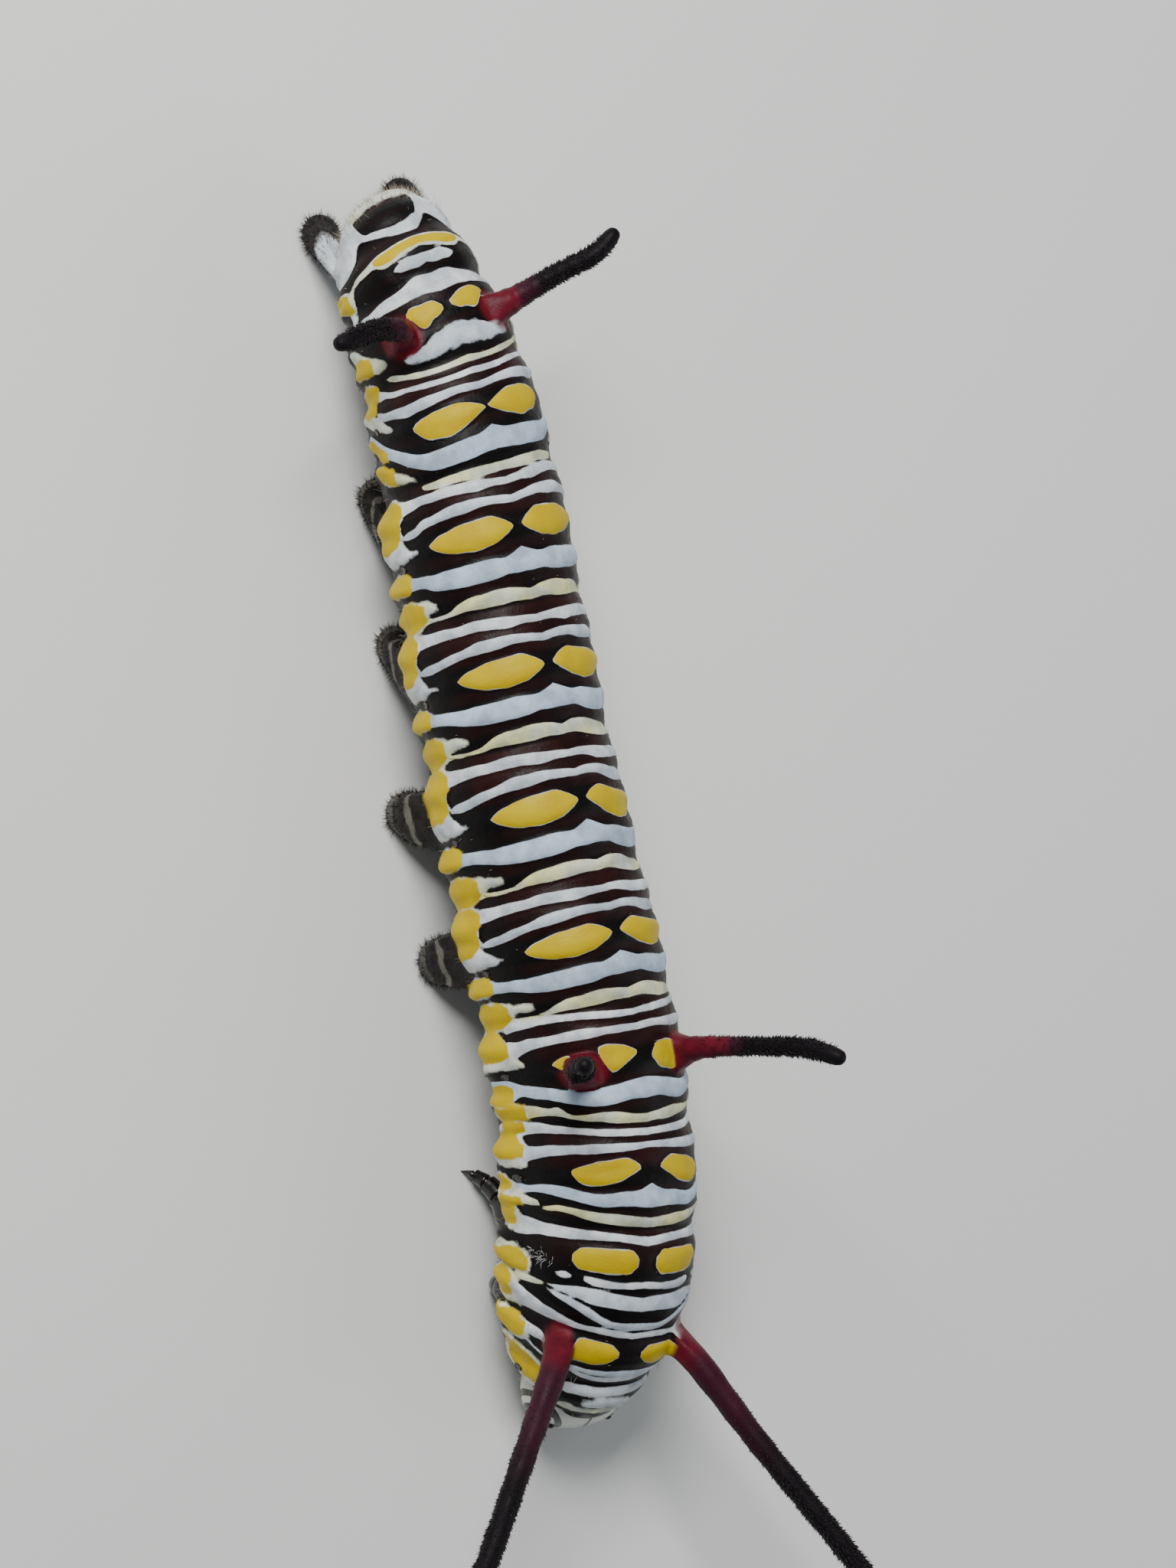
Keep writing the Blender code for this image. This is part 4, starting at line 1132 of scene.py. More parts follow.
def use(tree, group, output, **values):
    """Place a group with its own values; each is a number or an output."""
    made = add(tree, "ShaderNodeGroup", node_tree=group)
    for key, value in values.items():
        if isinstance(value, (int, float)):
            made.inputs[key].default_value = value
        else:
            tree.links.new(value, made.inputs[key])
    return made.outputs[output]


BLACK, MAROON = (0.0040, 0.0032, 0.0034), (0.026, 0.0062, 0.0062)
CRIMSON = (0.155, 0.006, 0.016)
BLUE_WHITE, PLAIN_WHITE, CREAM_WHITE = (0.52, 0.68, 0.86), (0.86, 0.90, 0.93), (0.90, 0.88, 0.30)
CLOUD_GREY = (0.19, 0.24, 0.32)
YELLOW, DEEP_YELLOW = (0.64, 0.47, 0.0), (0.58, 0.39, 0.0)
UNDERSIDE = (0.045, 0.038, 0.042)

belly, stain, soft_share = (attribute(tree, name) for name in ("belly", "stain", "soft"))
maroon_mask = times(tree, attribute(tree, "maroon"),
                    use(tree, mottle, "Value", Scale=0.9, Low=0.35, High=1.0))
dark = mix_colour(tree, maroon_mask, BLACK, MAROON)
stain_mask = times(tree, stain, use(tree, mottle, "Value", Scale=1.3, Low=0.65, High=1.0))
dark = mix_colour(tree, stain_mask, dark, CRIMSON)
dark = mix_colour(tree, belly, dark, UNDERSIDE)
print("dark colours laid:", len(tree.nodes), "nodes")

# %% The whites
tint_value = attribute(tree, "tint")
to_blue = math_node(tree, "MULTIPLY", tint_value, -1.0, clamp=True)
creaminess = use(tree, mottle, "Value", Scale=0.8, Low=0.45, High=1.1)
to_cream = math_node(tree, "MULTIPLY", tint_value, creaminess, clamp=True)
light = mix_colour(tree, to_blue, PLAIN_WHITE, BLUE_WHITE)
light = mix_colour(tree, to_cream, light, CREAM_WHITE)
cloudy = use(tree, mottle, "Value", Scale=1.3, Low=0.0, High=0.55)
light = mix_colour(tree, cloudy, light, CLOUD_GREY)
light = mix_colour(tree, times(tree, stain, 0.75), light, CRIMSON)
print("whites laid:", len(tree.nodes), "nodes")

# %% Whites and yellow within their edges
softness = plus(tree, times(tree, soft_share, 0.03), 0.016)
pale_mask = use(tree, ragged, "Mask", Distance=attribute(tree, "pale"),
                Wobble=plus(tree, times(tree, soft_share, 0.11), 0.03), Softness=softness, Scale=2.2)
yellow_mask = use(tree, ragged, "Mask", Distance=attribute(tree, "yellow"),
                  Wobble=plus(tree, times(tree, soft_share, 0.13), 0.03), Softness=softness, Scale=1.9)
gold = mix_colour(tree, use(tree, mottle, "Value", Scale=1.4, Low=0.0, High=0.8), YELLOW, DEEP_YELLOW)
pale_mask = times(tree, pale_mask, rest_of(tree, times(tree, belly, 0.8)))
colour = mix_colour(tree, pale_mask, dark, light)
colour = mix_colour(tree, yellow_mask, colour, gold)
print("yellow laid:", len(tree.nodes), "nodes")

# %% The colours of the filaments
FILAMENT_BLACK, WINE_RED = (0.006, 0.004, 0.006), (0.050, 0.008, 0.020)
FILAMENT_CRIMSON = (0.140, 0.007, 0.020)
filament_share = attribute(tree, "filament")
uneven = use(tree, mottle, "Value", Scale=1.2, Low=-0.12, High=0.12)
red_mask = step_node(tree, plus(tree, attribute(tree, "red"), uneven), 0.25, 0.75)
wine_mask = step_node(tree, plus(tree, attribute(tree, "wine"), uneven), 0.1, 0.9)
filament_colour = mix_colour(tree, wine_mask, FILAMENT_BLACK, WINE_RED)
filament_colour = mix_colour(tree, red_mask, filament_colour, FILAMENT_CRIMSON)
filament_colour = mix_colour(tree, use(tree, mottle, "Value", Scale=2.4, Low=0.0, High=0.35),
                             filament_colour, FILAMENT_BLACK)
colour = mix_colour(tree, step_node(tree, filament_share, 0.002, 0.03), colour, filament_colour)
print("colours of the filaments laid:", len(tree.nodes), "nodes")

# %% The colours of the prolegs
FOOT_BLACK, FOOT_BROWN, FOOT_GREY = (0.008, 0.007, 0.007), (0.030, 0.024, 0.022), (0.15, 0.138, 0.12)


def ring_mask(tree, height, start, end):
    """A band round a proleg; start and end are each where it begins to change and where it has."""
    return times(tree, step_node(tree, height, *start), rest_of(tree, step_node(tree, height, *end)))


foot_share = attribute(tree, "proleg")
ring_height = plus(tree, foot_share, use(tree, mottle, "Value", Scale=2.0, Low=-0.03, High=0.03))
upper_ring = ring_mask(tree, ring_height, (0.30, 0.34), (0.40, 0.45))
lower_ring = ring_mask(tree, ring_height, (0.66, 0.71), (0.86, 0.92))
rings_mask = math_node(tree, "MAXIMUM", upper_ring, times(tree, lower_ring, 0.75))
tail_mask = attribute(tree, "tail_leg")
rings_mask = times(tree, rings_mask, rest_of(tree, tail_mask))
foot_colour = mix_colour(tree, use(tree, mottle, "Value", Scale=3.0, Low=0.0, High=0.8),
                         FOOT_BLACK, FOOT_BROWN)
foot_colour = mix_colour(tree, rings_mask, foot_colour, FOOT_GREY)
white_part = rest_of(tree, step_node(tree, ring_height, 0.40, 0.52))
foot_colour = mix_colour(tree, times(tree, tail_mask, white_part), foot_colour, light)
colour = mix_colour(tree, step_node(tree, foot_share, 0.02, 0.10), colour, foot_colour)
tree.links.new(colour, surface.inputs["Base Color"])
print("colours of the prolegs laid:", len(tree.nodes), "nodes")

# %% Gloss, grain and depth of the skin
roughness = plus(tree, use(tree, mottle, "Value", Scale=2.0, Low=0.36, High=0.50),
                 times(tree, step_node(tree, filament_share, 0.02, 0.4), 0.10))
tree.links.new(roughness, surface.inputs["Roughness"])
bump_node = add(tree, "ShaderNodeBump")
bump_node.inputs["Distance"].default_value = MM
tree.links.new(use(tree, grain, "Height", Pores=12.0, Creases=2.6, Depth=0.022), bump_node.inputs["Height"])
tree.links.new(bump_node.outputs["Normal"], surface.inputs["Normal"])
surface.inputs["Subsurface Weight"].default_value = 0.06
surface.inputs["Subsurface Radius"].default_value = (1.0, 0.7, 0.5)
surface.inputs["Subsurface Scale"].default_value = 0.2 * MM
surface.inputs["Specular IOR Level"].default_value = 0.13
paint_piece(skin, skin_paint)
print("skin material:", len(tree.nodes), "nodes")

# %% [markdown]
# ## The head
#
# The head is a hard, glossy shell like a helmet, with a shallow cleft over the crown, six eyelets on each
# cheek, an upper lip, a pair of jaws and two stubby feelers. It starts as a ball whose corners are moved
# to the shell's own curve. It is cut where it slips under the collar of the skin.

# %% The directions of the head
DOWN = np.array((0, 0, -1.0))
HEAD_WIDE, HEAD_DEEP, HEAD_TALL = 1.62, 1.20, 1.50
HEAD_AHEAD, HEAD_HIGH = 0.45, 1.66
LOWER_NARROWING, LOWER_FLATTENING = 0.16, 0.10
CLEFT_DEPTH, CLEFT_SPREAD = 0.14, 16
_, HEAD_LEFT, NECK_BACK = axes(0)
HEAD_FORWARD = np.cross(DOWN, HEAD_LEFT)
HEAD_UP = -DOWN
HEAD_MIDDLE = np.array([centre(0)[0], centre(0)[1], 0]) + HEAD_FORWARD * HEAD_AHEAD + HEAD_UP * HEAD_HIGH


def head_points(azimuth, height):
    """Points of the shell: azimuth from the middle of the face, height up from its waist, in degrees."""
    azimuth, height = np.broadcast_arrays(np.asarray(azimuth, float), np.asarray(height, float))
    a, h = np.radians(azimuth), np.radians(height)
    low = np.clip(-np.sin(h), 0, 1)
    wide = HEAD_WIDE * (1 - LOWER_NARROWING * low ** 1.5)
    deep = HEAD_DEEP * (1 - LOWER_FLATTENING * low)
    cleft = CLEFT_DEPTH * bump(azimuth, 0, CLEFT_SPREAD) * np.clip(np.sin(h), 0, 1) ** 2
    level = np.clip(np.cos(h), 0, 1)
    x = wide * level ** 0.92 * np.sin(a)
    y = deep * level ** 0.80 * np.copysign(np.abs(np.cos(a)) ** 0.8, np.cos(a))
    z = HEAD_TALL * np.sin(h) - cleft
    return (HEAD_MIDDLE + column_of(x) * HEAD_LEFT + column_of(y) * HEAD_FORWARD
            + column_of(z) * HEAD_UP)


print("middle of the head in mm:", HEAD_MIDDLE.round(2).tolist())

# %% The shell
HEAD_COLUMNS, HEAD_ROWS = 128, 96
NECK_TUCK = 0.30
clear()
bpy.ops.mesh.primitive_uv_sphere_add(segments=HEAD_COLUMNS, ring_count=HEAD_ROWS, radius=1)
head = bpy.context.object
head.name = "head_shell"
ball = places(head.data) * MM
azimuth = np.degrees(np.arctan2(ball[:, 0], -ball[:, 1]))
height = np.degrees(np.arcsin(np.clip(ball[:, 2], -1, 1)))
write(head.data, "azimuth", azimuth)
write(head.data, "height", height)
place(head.data, head_points(azimuth, height))
only(head)
bpy.ops.object.mode_set(mode="EDIT")
bpy.ops.mesh.select_all(action="SELECT")
bpy.ops.mesh.bisect(plane_co=(centre(0) + NECK_BACK * NECK_TUCK) * MM, plane_no=NECK_BACK,
                    use_fill=True, clear_outer=True, threshold=1e-7)
bpy.ops.mesh.select_all(action="SELECT")
bpy.ops.mesh.normals_make_consistent(inside=False)
bpy.ops.object.mode_set(mode="OBJECT")
bpy.ops.object.shade_smooth_by_angle(angle=math.radians(60))
print("head shell:", len(head.data.polygons), "faces")

# %% [markdown]
# Eyelets, lip and jaws are small hard forms set into the shell. One eyelet is modelled and copied to its
# twelve places, each a little sunk in.

# %% Eyelets
STEMMA = 0.13
# azimuth and height on the shell, in degrees
STEMMATA = ((38, 10), (46, 4), (52, -5), (54, -15), (64, -8), (42, -6))


def rounded(name, middle, radii, directions, columns, rows):
    """A ball stretched along three directions, placed in its mesh."""
    clear()
    bpy.ops.mesh.primitive_uv_sphere_add(segments=columns, ring_count=rows, radius=1)
    piece = bpy.context.object
    piece.name = name
    spots = places(piece.data) * MM
    place(piece.data, middle + (spots * radii) @ np.array(directions))
    bpy.ops.object.shade_smooth()
    return piece


def join(name, pieces):
    """Make one object of several."""
    clear()
    for piece in pieces:
        piece.select_set(True)
    bpy.context.view_layer.objects.active = pieces[0]
    bpy.ops.object.join()
    pieces[0].name = name
    return pieces[0]


def copy_to(model, spot, directions, size=1.0):
    """A copy of a small piece, with a mesh of its own, laid at a spot with its axes turned."""
    made = model.copy()
    made.data = model.data.copy()
    bpy.context.collection.objects.link(made)
    place(made.data, spot + size * places(model.data) @ np.array(directions))
    return made


eyelet = rounded("eyelet", np.zeros(3), (STEMMA, STEMMA, STEMMA * 0.9), np.eye(3), 16, 10)
eyelets = []
for side, _ in SIDES:
    for azimuth_deg, height_deg in STEMMATA:
        spot = head_points(side * azimuth_deg, height_deg)
        outward = unit(spot - HEAD_MIDDLE)
        tangent = unit(np.cross(HEAD_UP, outward))
        eyelets.append(copy_to(eyelet, spot, (tangent, np.cross(outward, tangent), outward)))
bpy.data.objects.remove(eyelet)
print("eyelets:", len(eyelets))
eyes = join("eyelets", eyelets)

# %% Lip and jaws
# half sizes across, forwards and up; each is placed by shares of the head's depth and height
LIP_SIZE, LIP_AHEAD, LIP_LOW = (0.42, 0.26, 0.26), 0.74, 0.66
LIP_NOTCH, LIP_NOTCH_SPREAD = 0.10, 0.10
JAW_SIZE, JAW_AHEAD, JAW_LOW, JAW_ASIDE = (0.25, 0.23, 0.24), 0.62, 0.84, 0.24
TOOTH_HEIGHT, TOOTH_PITCH = 0.025, 40
face_axes = (-HEAD_LEFT, HEAD_FORWARD, HEAD_UP)
lip_spot = HEAD_MIDDLE + HEAD_FORWARD * HEAD_DEEP * LIP_AHEAD - HEAD_UP * HEAD_TALL * LIP_LOW
lip = rounded("upper_lip", lip_spot, LIP_SIZE, face_axes, 40, 24)
spots = places(lip.data)
across = (spots - lip_spot) @ HEAD_LEFT
down = (lip_spot - spots) @ HEAD_UP
notch = LIP_NOTCH * bump(across, 0, LIP_NOTCH_SPREAD) * np.clip(down / 0.2, 0, 1)
place(lip.data, spots + HEAD_UP * column_of(notch))
jaws = []
for side, _ in SIDES:
    jaw_spot = (HEAD_MIDDLE + side * JAW_ASIDE * HEAD_LEFT + HEAD_FORWARD * HEAD_DEEP * JAW_AHEAD
                - HEAD_UP * HEAD_TALL * JAW_LOW)
    jaw = rounded("jaw", jaw_spot, JAW_SIZE, face_axes, 32, 20)
    spots = places(jaw.data)
    inward = -side * (spots - jaw_spot) @ HEAD_LEFT
    teeth = TOOTH_HEIGHT * np.clip(inward / 0.2, 0, 1) * np.sin(spots @ HEAD_FORWARD * TOOTH_PITCH)
    place(jaw.data, spots - HEAD_UP * column_of(teeth))
    jaws.append(jaw)
jaws = join("jaws", jaws)
print("lip and jaws made")

# %% [markdown]
# ## Feelers and true legs
#
# Both are hard, jointed and tapered. Each starts as a plain rod, cut into rings; the rings then follow the
# limb's line and take their width from a short table that steps in at every joint.

# %% Rods that follow a line


def rod(name, rings, sides):
    """An upright rod with the given number of rings."""
    clear()
    bpy.ops.mesh.primitive_cylinder_add(vertices=sides, radius=1, depth=2, end_fill_type="TRIFAN")
    piece = bpy.context.object
    piece.name = name
    bpy.ops.object.mode_set(mode="EDIT")
    bpy.ops.mesh.select_all(action="DESELECT")
    bpy.ops.mesh.select_mode(type="EDGE")
    shape = bmesh.from_edit_mesh(piece.data)
    for edge in shape.edges:
        low, high = (vert.co for vert in edge.verts)
        if abs(low.z - high.z) > 1:
            edge.select_set(True)
    bmesh.update_edit_mesh(piece.data)
    bpy.ops.mesh.subdivide(number_cuts=rings)
    bpy.ops.mesh.select_all(action="DESELECT")
    bpy.ops.object.mode_set(mode="OBJECT")
    return piece


def follow(piece, line, widths, first_side):
    """Move a rod's rings onto a line; widths are pairs of share and half width."""
    spots = places(piece.data) * MM
    share = (spots[:, 2] + 1) / 2
    steps = np.linspace(0, 1, len(line))
    headings = unit(np.gradient(line, axis=0))
    spot, heading = (np.stack([np.interp(share, steps, values[:, k]) for k in range(3)], axis=-1)
                     for values in (line, headings))
    heading = unit(heading)
    first = unit(first_side - column_of(heading @ first_side) * heading)
    second = np.cross(heading, first)
    table = np.array(widths)
    radius = np.interp(share, table[:, 0], table[:, 1])
    place(piece.data, spot + column_of(radius) * (spots[:, :1] * first + spots[:, 1:2] * second))
    write(piece.data, "share", share)
    only(piece)
    bpy.ops.object.mode_set(mode="EDIT")
    bpy.ops.mesh.select_all(action="SELECT")
    bpy.ops.mesh.normals_make_consistent(inside=False)
    bpy.ops.object.mode_set(mode="OBJECT")
    bpy.ops.object.shade_smooth_by_angle(angle=math.radians(50))


# %% The two feelers
ANTENNA_PLACE = (41, -40)
ANTENNA_LENGTH = 0.65
# shares of the length from the root, and the half width there; the table steps in at each joint
ANTENNA_WIDTHS = ((0, 0.24), (0.30, 0.20), (0.33, 0.16), (0.37, 0.19), (0.62, 0.16), (0.66, 0.10),
                  (0.70, 0.13), (0.92, 0.11), (1.0, 0.05))
antennae = []
for side, word in SIDES:
    base = head_points(side * ANTENNA_PLACE[0], ANTENNA_PLACE[1])
    heading = unit(unit(base - HEAD_MIDDLE) + 0.5 * HEAD_FORWARD - 0.3 * DOWN)
    line = np.array([base + heading * ANTENNA_LENGTH * t for t in np.linspace(-0.25, 1, 12)])
    feeler = rod(f"feeler_{word}", 30, 20)
    follow(feeler, line, ANTENNA_WIDTHS, HEAD_UP)
    antennae.append(feeler)
print("feelers:", len(antennae))

# %% The six true legs
# root, knee and foot as for the prolegs
LEGS = {
    "front": ((0.62, 136, 0.24, 12), (1.40, 1.10, 0.45), (1.08, 0.74)),
    "middle": ((1.55, 136, 0.20, 11), (1.95, 1.25, 0.45), (1.60, 0.92)),
    "hind": ((2.74, 137, 0.15, 9), (2.05, 1.85, 0.75), (2.88, 2.06)),
}
# shares of the length from inside the body, and the half width there
LEG_WIDTHS = ((0, 0.50), (0.16, 0.46), (0.30, 0.38), (0.345, 0.385), (0.36, 0.25), (0.375, 0.25),
              (0.39, 0.33), (0.50, 0.31), (0.585, 0.30), (0.60, 0.19), (0.615, 0.19), (0.63, 0.25),
              (0.74, 0.21), (0.795, 0.205), (0.81, 0.11), (0.825, 0.11), (0.84, 0.13), (0.90, 0.085),
              (1.0, 0.012))
LEG_SUNK = 0.5
CLAW_HEIGHT = 0.012


def leg_line(side, root, knee, foot):
    """The line of a leg, from inside the body to the tip of its claw on the floor."""
    at, angle = patch_centre(side, root, True)
    base = skin_points(at, angle)
    bend = beside(at, side, *knee)
    tip = beside(at, side, *foot, CLAW_HEIGHT)
    t = column_of(np.linspace(0, 1, 40))
    line = (1 - t) ** 2 * base + 2 * t * (1 - t) * bend + t ** 2 * tip
    inside = base + LEG_SUNK * unit(base - bend)
    return np.vstack([inside, line])


true_legs = []
for side, word in SIDES:
    for pair, (root, knee, foot) in LEGS.items():
        leg = rod(f"true_leg_{pair}_{word}", 90, 24)
        follow(leg, leg_line(side, root, knee, foot), LEG_WIDTHS, axes(root[0])[2])
        true_legs.append(leg)
print("true legs:", len(true_legs), "each", len(true_legs[0].data.polygons), "faces")

# %% [markdown]
# ## Breathing holes
#
# Each ring that breathes has a small oval hole with a raised black rim low on its flank. One is modelled
# as a flattened ring with a sunken floor, and copied to its eighteen places; each copy lies on the skin.

# %% Breathing holes
HOLE_WIDE, HOLE_TALL = 0.085, 0.13
RIM_THICKNESS, RIM_HEIGHT, FLOOR_HEIGHT = 0.34, 0.09, 0.02
# place along the body, angle down each flank, and size
HOLES = ((0.62, 84, 1.15), (3.49, 87, 1.35), (4.53, 88, 1.0), (5.42, 90, 1.0), (6.42, 90, 1.0),
         (7.42, 90, 1.0), (8.42, 84, 1.0), (9.62, 84, 1.0), (10.68, 80, 1.3))


def on_skin(u, phi):
    """Place, outward direction and tail direction of a spot on the finished skin."""
    at = skin_points(u, phi)
    tailward = unit(skin_points(u + 0.03, phi) - skin_points(u - 0.03, phi))
    outward = unit(np.cross(tailward, unit(skin_points(u, phi + 1) - skin_points(u, phi - 1))))
    start = Vector((at + 0.6 * outward) * MM)
    hit, spot, normal, _ = skin.ray_cast(start, Vector(-outward), distance=2 * MM)
    assert hit, "a hole missed the skin"
    return np.array(spot) / MM, unit(np.array(normal)), tailward


clear()
bpy.ops.mesh.primitive_torus_add(major_segments=22, minor_segments=8, major_radius=1,
                                 minor_radius=RIM_THICKNESS)
rim = bpy.context.object
place(rim.data, places(rim.data) * MM * (HOLE_WIDE, HOLE_TALL, RIM_HEIGHT))
bpy.ops.object.shade_smooth()
sunken = rounded("hole_floor", np.zeros(3), (HOLE_WIDE, HOLE_TALL, FLOOR_HEIGHT), np.eye(3), 20, 8)
one_hole = join("one_hole", [rim, sunken])
holes = []
for side, _ in SIDES:
    for u, angle, size in HOLES:
        spot, outward, tailward = on_skin(u, -side * angle)
        along = unit(tailward - (tailward @ outward) * outward)
        holes.append(copy_to(one_hole, spot, (along, np.cross(outward, along), outward), size))
bpy.data.objects.remove(one_hole)
print("breathing holes:", len(holes))
breathing_holes = join("breathing_holes", holes)

# %% [markdown]
# ## Bristles and hairs
#
# Filaments and feet are covered in short stiff bristles that blur their outline, and single hairs stand
# on head, tail and belly. Particles could grow them, but these have to be plain mesh. One hair is
# modelled as a thin three-sided cone with a cut across its middle, and copied to every root; the cut
# lets each copy bend. A hair takes its place in the unwrap from its root, so it is coloured as one.

# %% One hair
clear()
bpy.ops.mesh.primitive_cone_add(vertices=3, radius1=1, radius2=0.12, depth=2, end_fill_type="NGON")
hair = bpy.context.object
hair.name = "one_hair"
bpy.ops.object.mode_set(mode="EDIT")
bpy.ops.mesh.select_all(action="DESELECT")
bpy.ops.mesh.select_mode(type="EDGE")
shape = bmesh.from_edit_mesh(hair.data)
for edge in shape.edges:
    if abs(edge.verts[0].co.z - edge.verts[1].co.z) > 1:
        edge.select_set(True)
bmesh.update_edit_mesh(hair.data)
bpy.ops.mesh.subdivide(number_cuts=1)
bpy.ops.mesh.select_all(action="SELECT")
bpy.ops.mesh.quads_convert_to_tris()
bpy.ops.object.mode_set(mode="OBJECT")
HAIR_CORNERS = places(hair.data) * MM
HAIR_CORNERS[:, 2] = (HAIR_CORNERS[:, 2] + 1) / 2
HAIR_FACES = np.array([list(face.vertices) for face in hair.data.polygons])
bpy.data.objects.remove(hair)
print("one hair:", len(HAIR_CORNERS), "corners,", len(HAIR_FACES), "faces")

# %% Copy the hair to its roots
chance = np.random.default_rng(4)
SUNK = 0.02
PATCH, MARGIN, FULL = 0.003, 0.02, 0.95


def hairs(name, roots, headings, lengths, widths, sweep, unwrap):
    """One mesh of hairs. Headings are unit directions, sweep bends the tip, unwrap is the root's place."""
    count, corners = len(roots), len(HAIR_CORNERS)
    helper = np.where(np.abs(headings[:, 2:]) > 0.9, (1.0, 0, 0), (0, 0, 1.0))
    first = unit(np.cross(headings, helper))
    second = np.cross(headings, first)
    x, y, z = (HAIR_CORNERS[None, :, k, None] for k in range(3))
    wide, long = widths[:, None, None], lengths[:, None, None]
    spots = (roots[:, None] + wide * (x * first[:, None] + y * second[:, None])
             + long * z * headings[:, None] + long * z ** 2 * sweep[:, None])
    faces = (HAIR_FACES[None] + (np.arange(count) * corners)[:, None, None]).reshape(-1, 3)
    mesh = bpy.data.meshes.new(name)
    mesh.vertices.add(count * corners)
    mesh.loops.add(len(faces) * 3)
    mesh.polygons.add(len(faces))
    mesh.loops.foreach_set("vertex_index", faces.astype(np.int32).ravel())
    mesh.polygons.foreach_set("loop_start", np.arange(len(faces), dtype=np.int32) * 3)
    mesh.update()
    place(mesh, spots.reshape(-1, 3))
    write(mesh, "tip", np.tile(HAIR_CORNERS[:, 2], count))
    write(mesh, "shade", np.repeat(chance.random(count), corners))
    layer = mesh.uv_layers.new(name="OFBake")
    places_uv = unwrap[:, None] + PATCH * 0.5 * (HAIR_CORNERS[None, :, :2] * 0.8 + 1)
    layer.data.foreach_set("uv", places_uv.reshape(-1, 2)[faces.ravel()].astype(np.float32).ravel())
    piece = bpy.data.objects.new(name, mesh)
    bpy.context.collection.objects.link(piece)
    only(piece)
    bpy.ops.object.shade_smooth()
    return piece


# %% Places on a limb


def square_round(turn):
    """Direction round a limb as a place on its patch's square rim."""
    x, y = np.cos(turn), np.sin(turn)
    rim = np.maximum(np.abs(x), np.abs(y))
    return x / rim, y / rim


def on_limb(limb, share_along, turn):
    """Places on a limb's surface, the way out of it and the way towards its tip."""
    shape = shape_proleg if limb["stands"] else shape_filament
    at, angle = patch_centre(limb["side"], limb["root"], limb["stands"])
    x, y = square_round(turn)

    def spot(size, ahead):
        """Places at a share of the limb's thickness, a little ahead along it."""
        return shape(limb, at + size * x * limb["root"][2], angle + size * y * limb["root"][3],
                     size * x, size * y, np.clip(share_along + ahead, 0, 0.999))

    surface_spots, inner = spot(1.0, 0), spot(0.3, 0)
    onward = unit(spot(1.0, 0.01) - spot(1.0, -0.01))
    return surface_spots, unit(surface_spots - inner), onward


STRIP, STRIP_WIDE = 0.056, 0.045


def limb_island(k, share_along, turn):
    """Place in the unwrap: every limb has a strip of its own."""
    return np.stack([MARGIN + STRIP * k + STRIP_WIDE * (turn % (2 * math.pi)) / (2 * math.pi),
                     MARGIN + FULL * share_along], axis=-1)


# %% Bristles of the filaments
BRISTLES_PER_MM = 125
FIRST_BRISTLE, CROWDED_SHARE = 0.06, 0.4
BRISTLE_LENGTHS, BRISTLE_WIDTHS = (0.07, 0.15), (0.017, 0.027)
BRISTLE_LEAN, BRISTLE_SWEEP = 0.45, 0.25


def filament_bristles():
    """Roots, headings, lengths, widths, bends and unwrap of the bristles, denser towards the tips."""
    parts = []
    for k, limb in enumerate(limbs):
        if limb["stands"]:
            continue
        reach = np.linalg.norm(np.diff(np.array([(0, 0, 0)] + list(limb["path"])), axis=0), axis=1).sum()
        count = int(reach * BRISTLES_PER_MM)
        crowded = np.sqrt(chance.uniform(FIRST_BRISTLE ** 2, 1, count))
        even = chance.uniform(FIRST_BRISTLE, 1, count)
        share_along = CROWDED_SHARE * crowded + (1 - CROWDED_SHARE) * even
        turn = chance.uniform(0, 2 * math.pi, count)
        roots, outward, onward = on_limb(limb, share_along, turn)
        headings = unit(outward + BRISTLE_LEAN * onward + chance.normal(0, 0.25, (count, 3)))
        lengths = chance.uniform(*BRISTLE_LENGTHS, count) * (0.55 + 0.5 * share_along)
        widths = chance.uniform(*BRISTLE_WIDTHS, count)
        parts.append((roots - SUNK * outward, headings, lengths, widths, BRISTLE_SWEEP * onward,
                      limb_island(k, share_along, turn)))
    return [np.concatenate(values) for values in zip(*parts)]


bristles = hairs("filament_bristles", *filament_bristles())
print("filament bristles:", len(bristles.data.polygons), "faces")

# %% Fuzz of the prolegs
FUZZ_PER_FOOT = 520
FUZZ_LENGTHS, FUZZ_WIDTHS = (0.10, 0.30), (0.008, 0.013)
FUZZ_LEAN, FUZZ_SWEEP = 0.25, 0.08
LOWEST_TIP = 0.03


def proleg_fuzz():
    """The same for the feet; tips that would reach the floor are turned up."""
    parts = []
    for k, limb in enumerate(limbs):
        if not limb["stands"]:
            continue
        share_along = 0.12 + 0.84 * chance.beta(2.4, 1.3, FUZZ_PER_FOOT)
        turn = chance.uniform(0, 2 * math.pi, FUZZ_PER_FOOT)
        roots, outward, onward = on_limb(limb, share_along, turn)
        headings = unit(outward + FUZZ_LEAN * onward + chance.normal(0, 0.3, (FUZZ_PER_FOOT, 3)))
        lengths = chance.uniform(*FUZZ_LENGTHS, FUZZ_PER_FOOT)
        low = roots[:, 2] + headings[:, 2] * lengths < LOWEST_TIP
        headings[low, 2] = np.abs(headings[low, 2]) * 0.3
        widths = chance.uniform(*FUZZ_WIDTHS, FUZZ_PER_FOOT)
        sweep = np.tile((0, 0, FUZZ_SWEEP), (FUZZ_PER_FOOT, 1))
        parts.append((roots - SUNK * outward, unit(headings), lengths, widths, sweep,
                      limb_island(k, share_along, turn)))
    return [np.concatenate(values) for values in zip(*parts)]


fuzz = hairs("proleg_fuzz", *proleg_fuzz())
print("proleg fuzz:", len(fuzz.data.polygons), "faces")

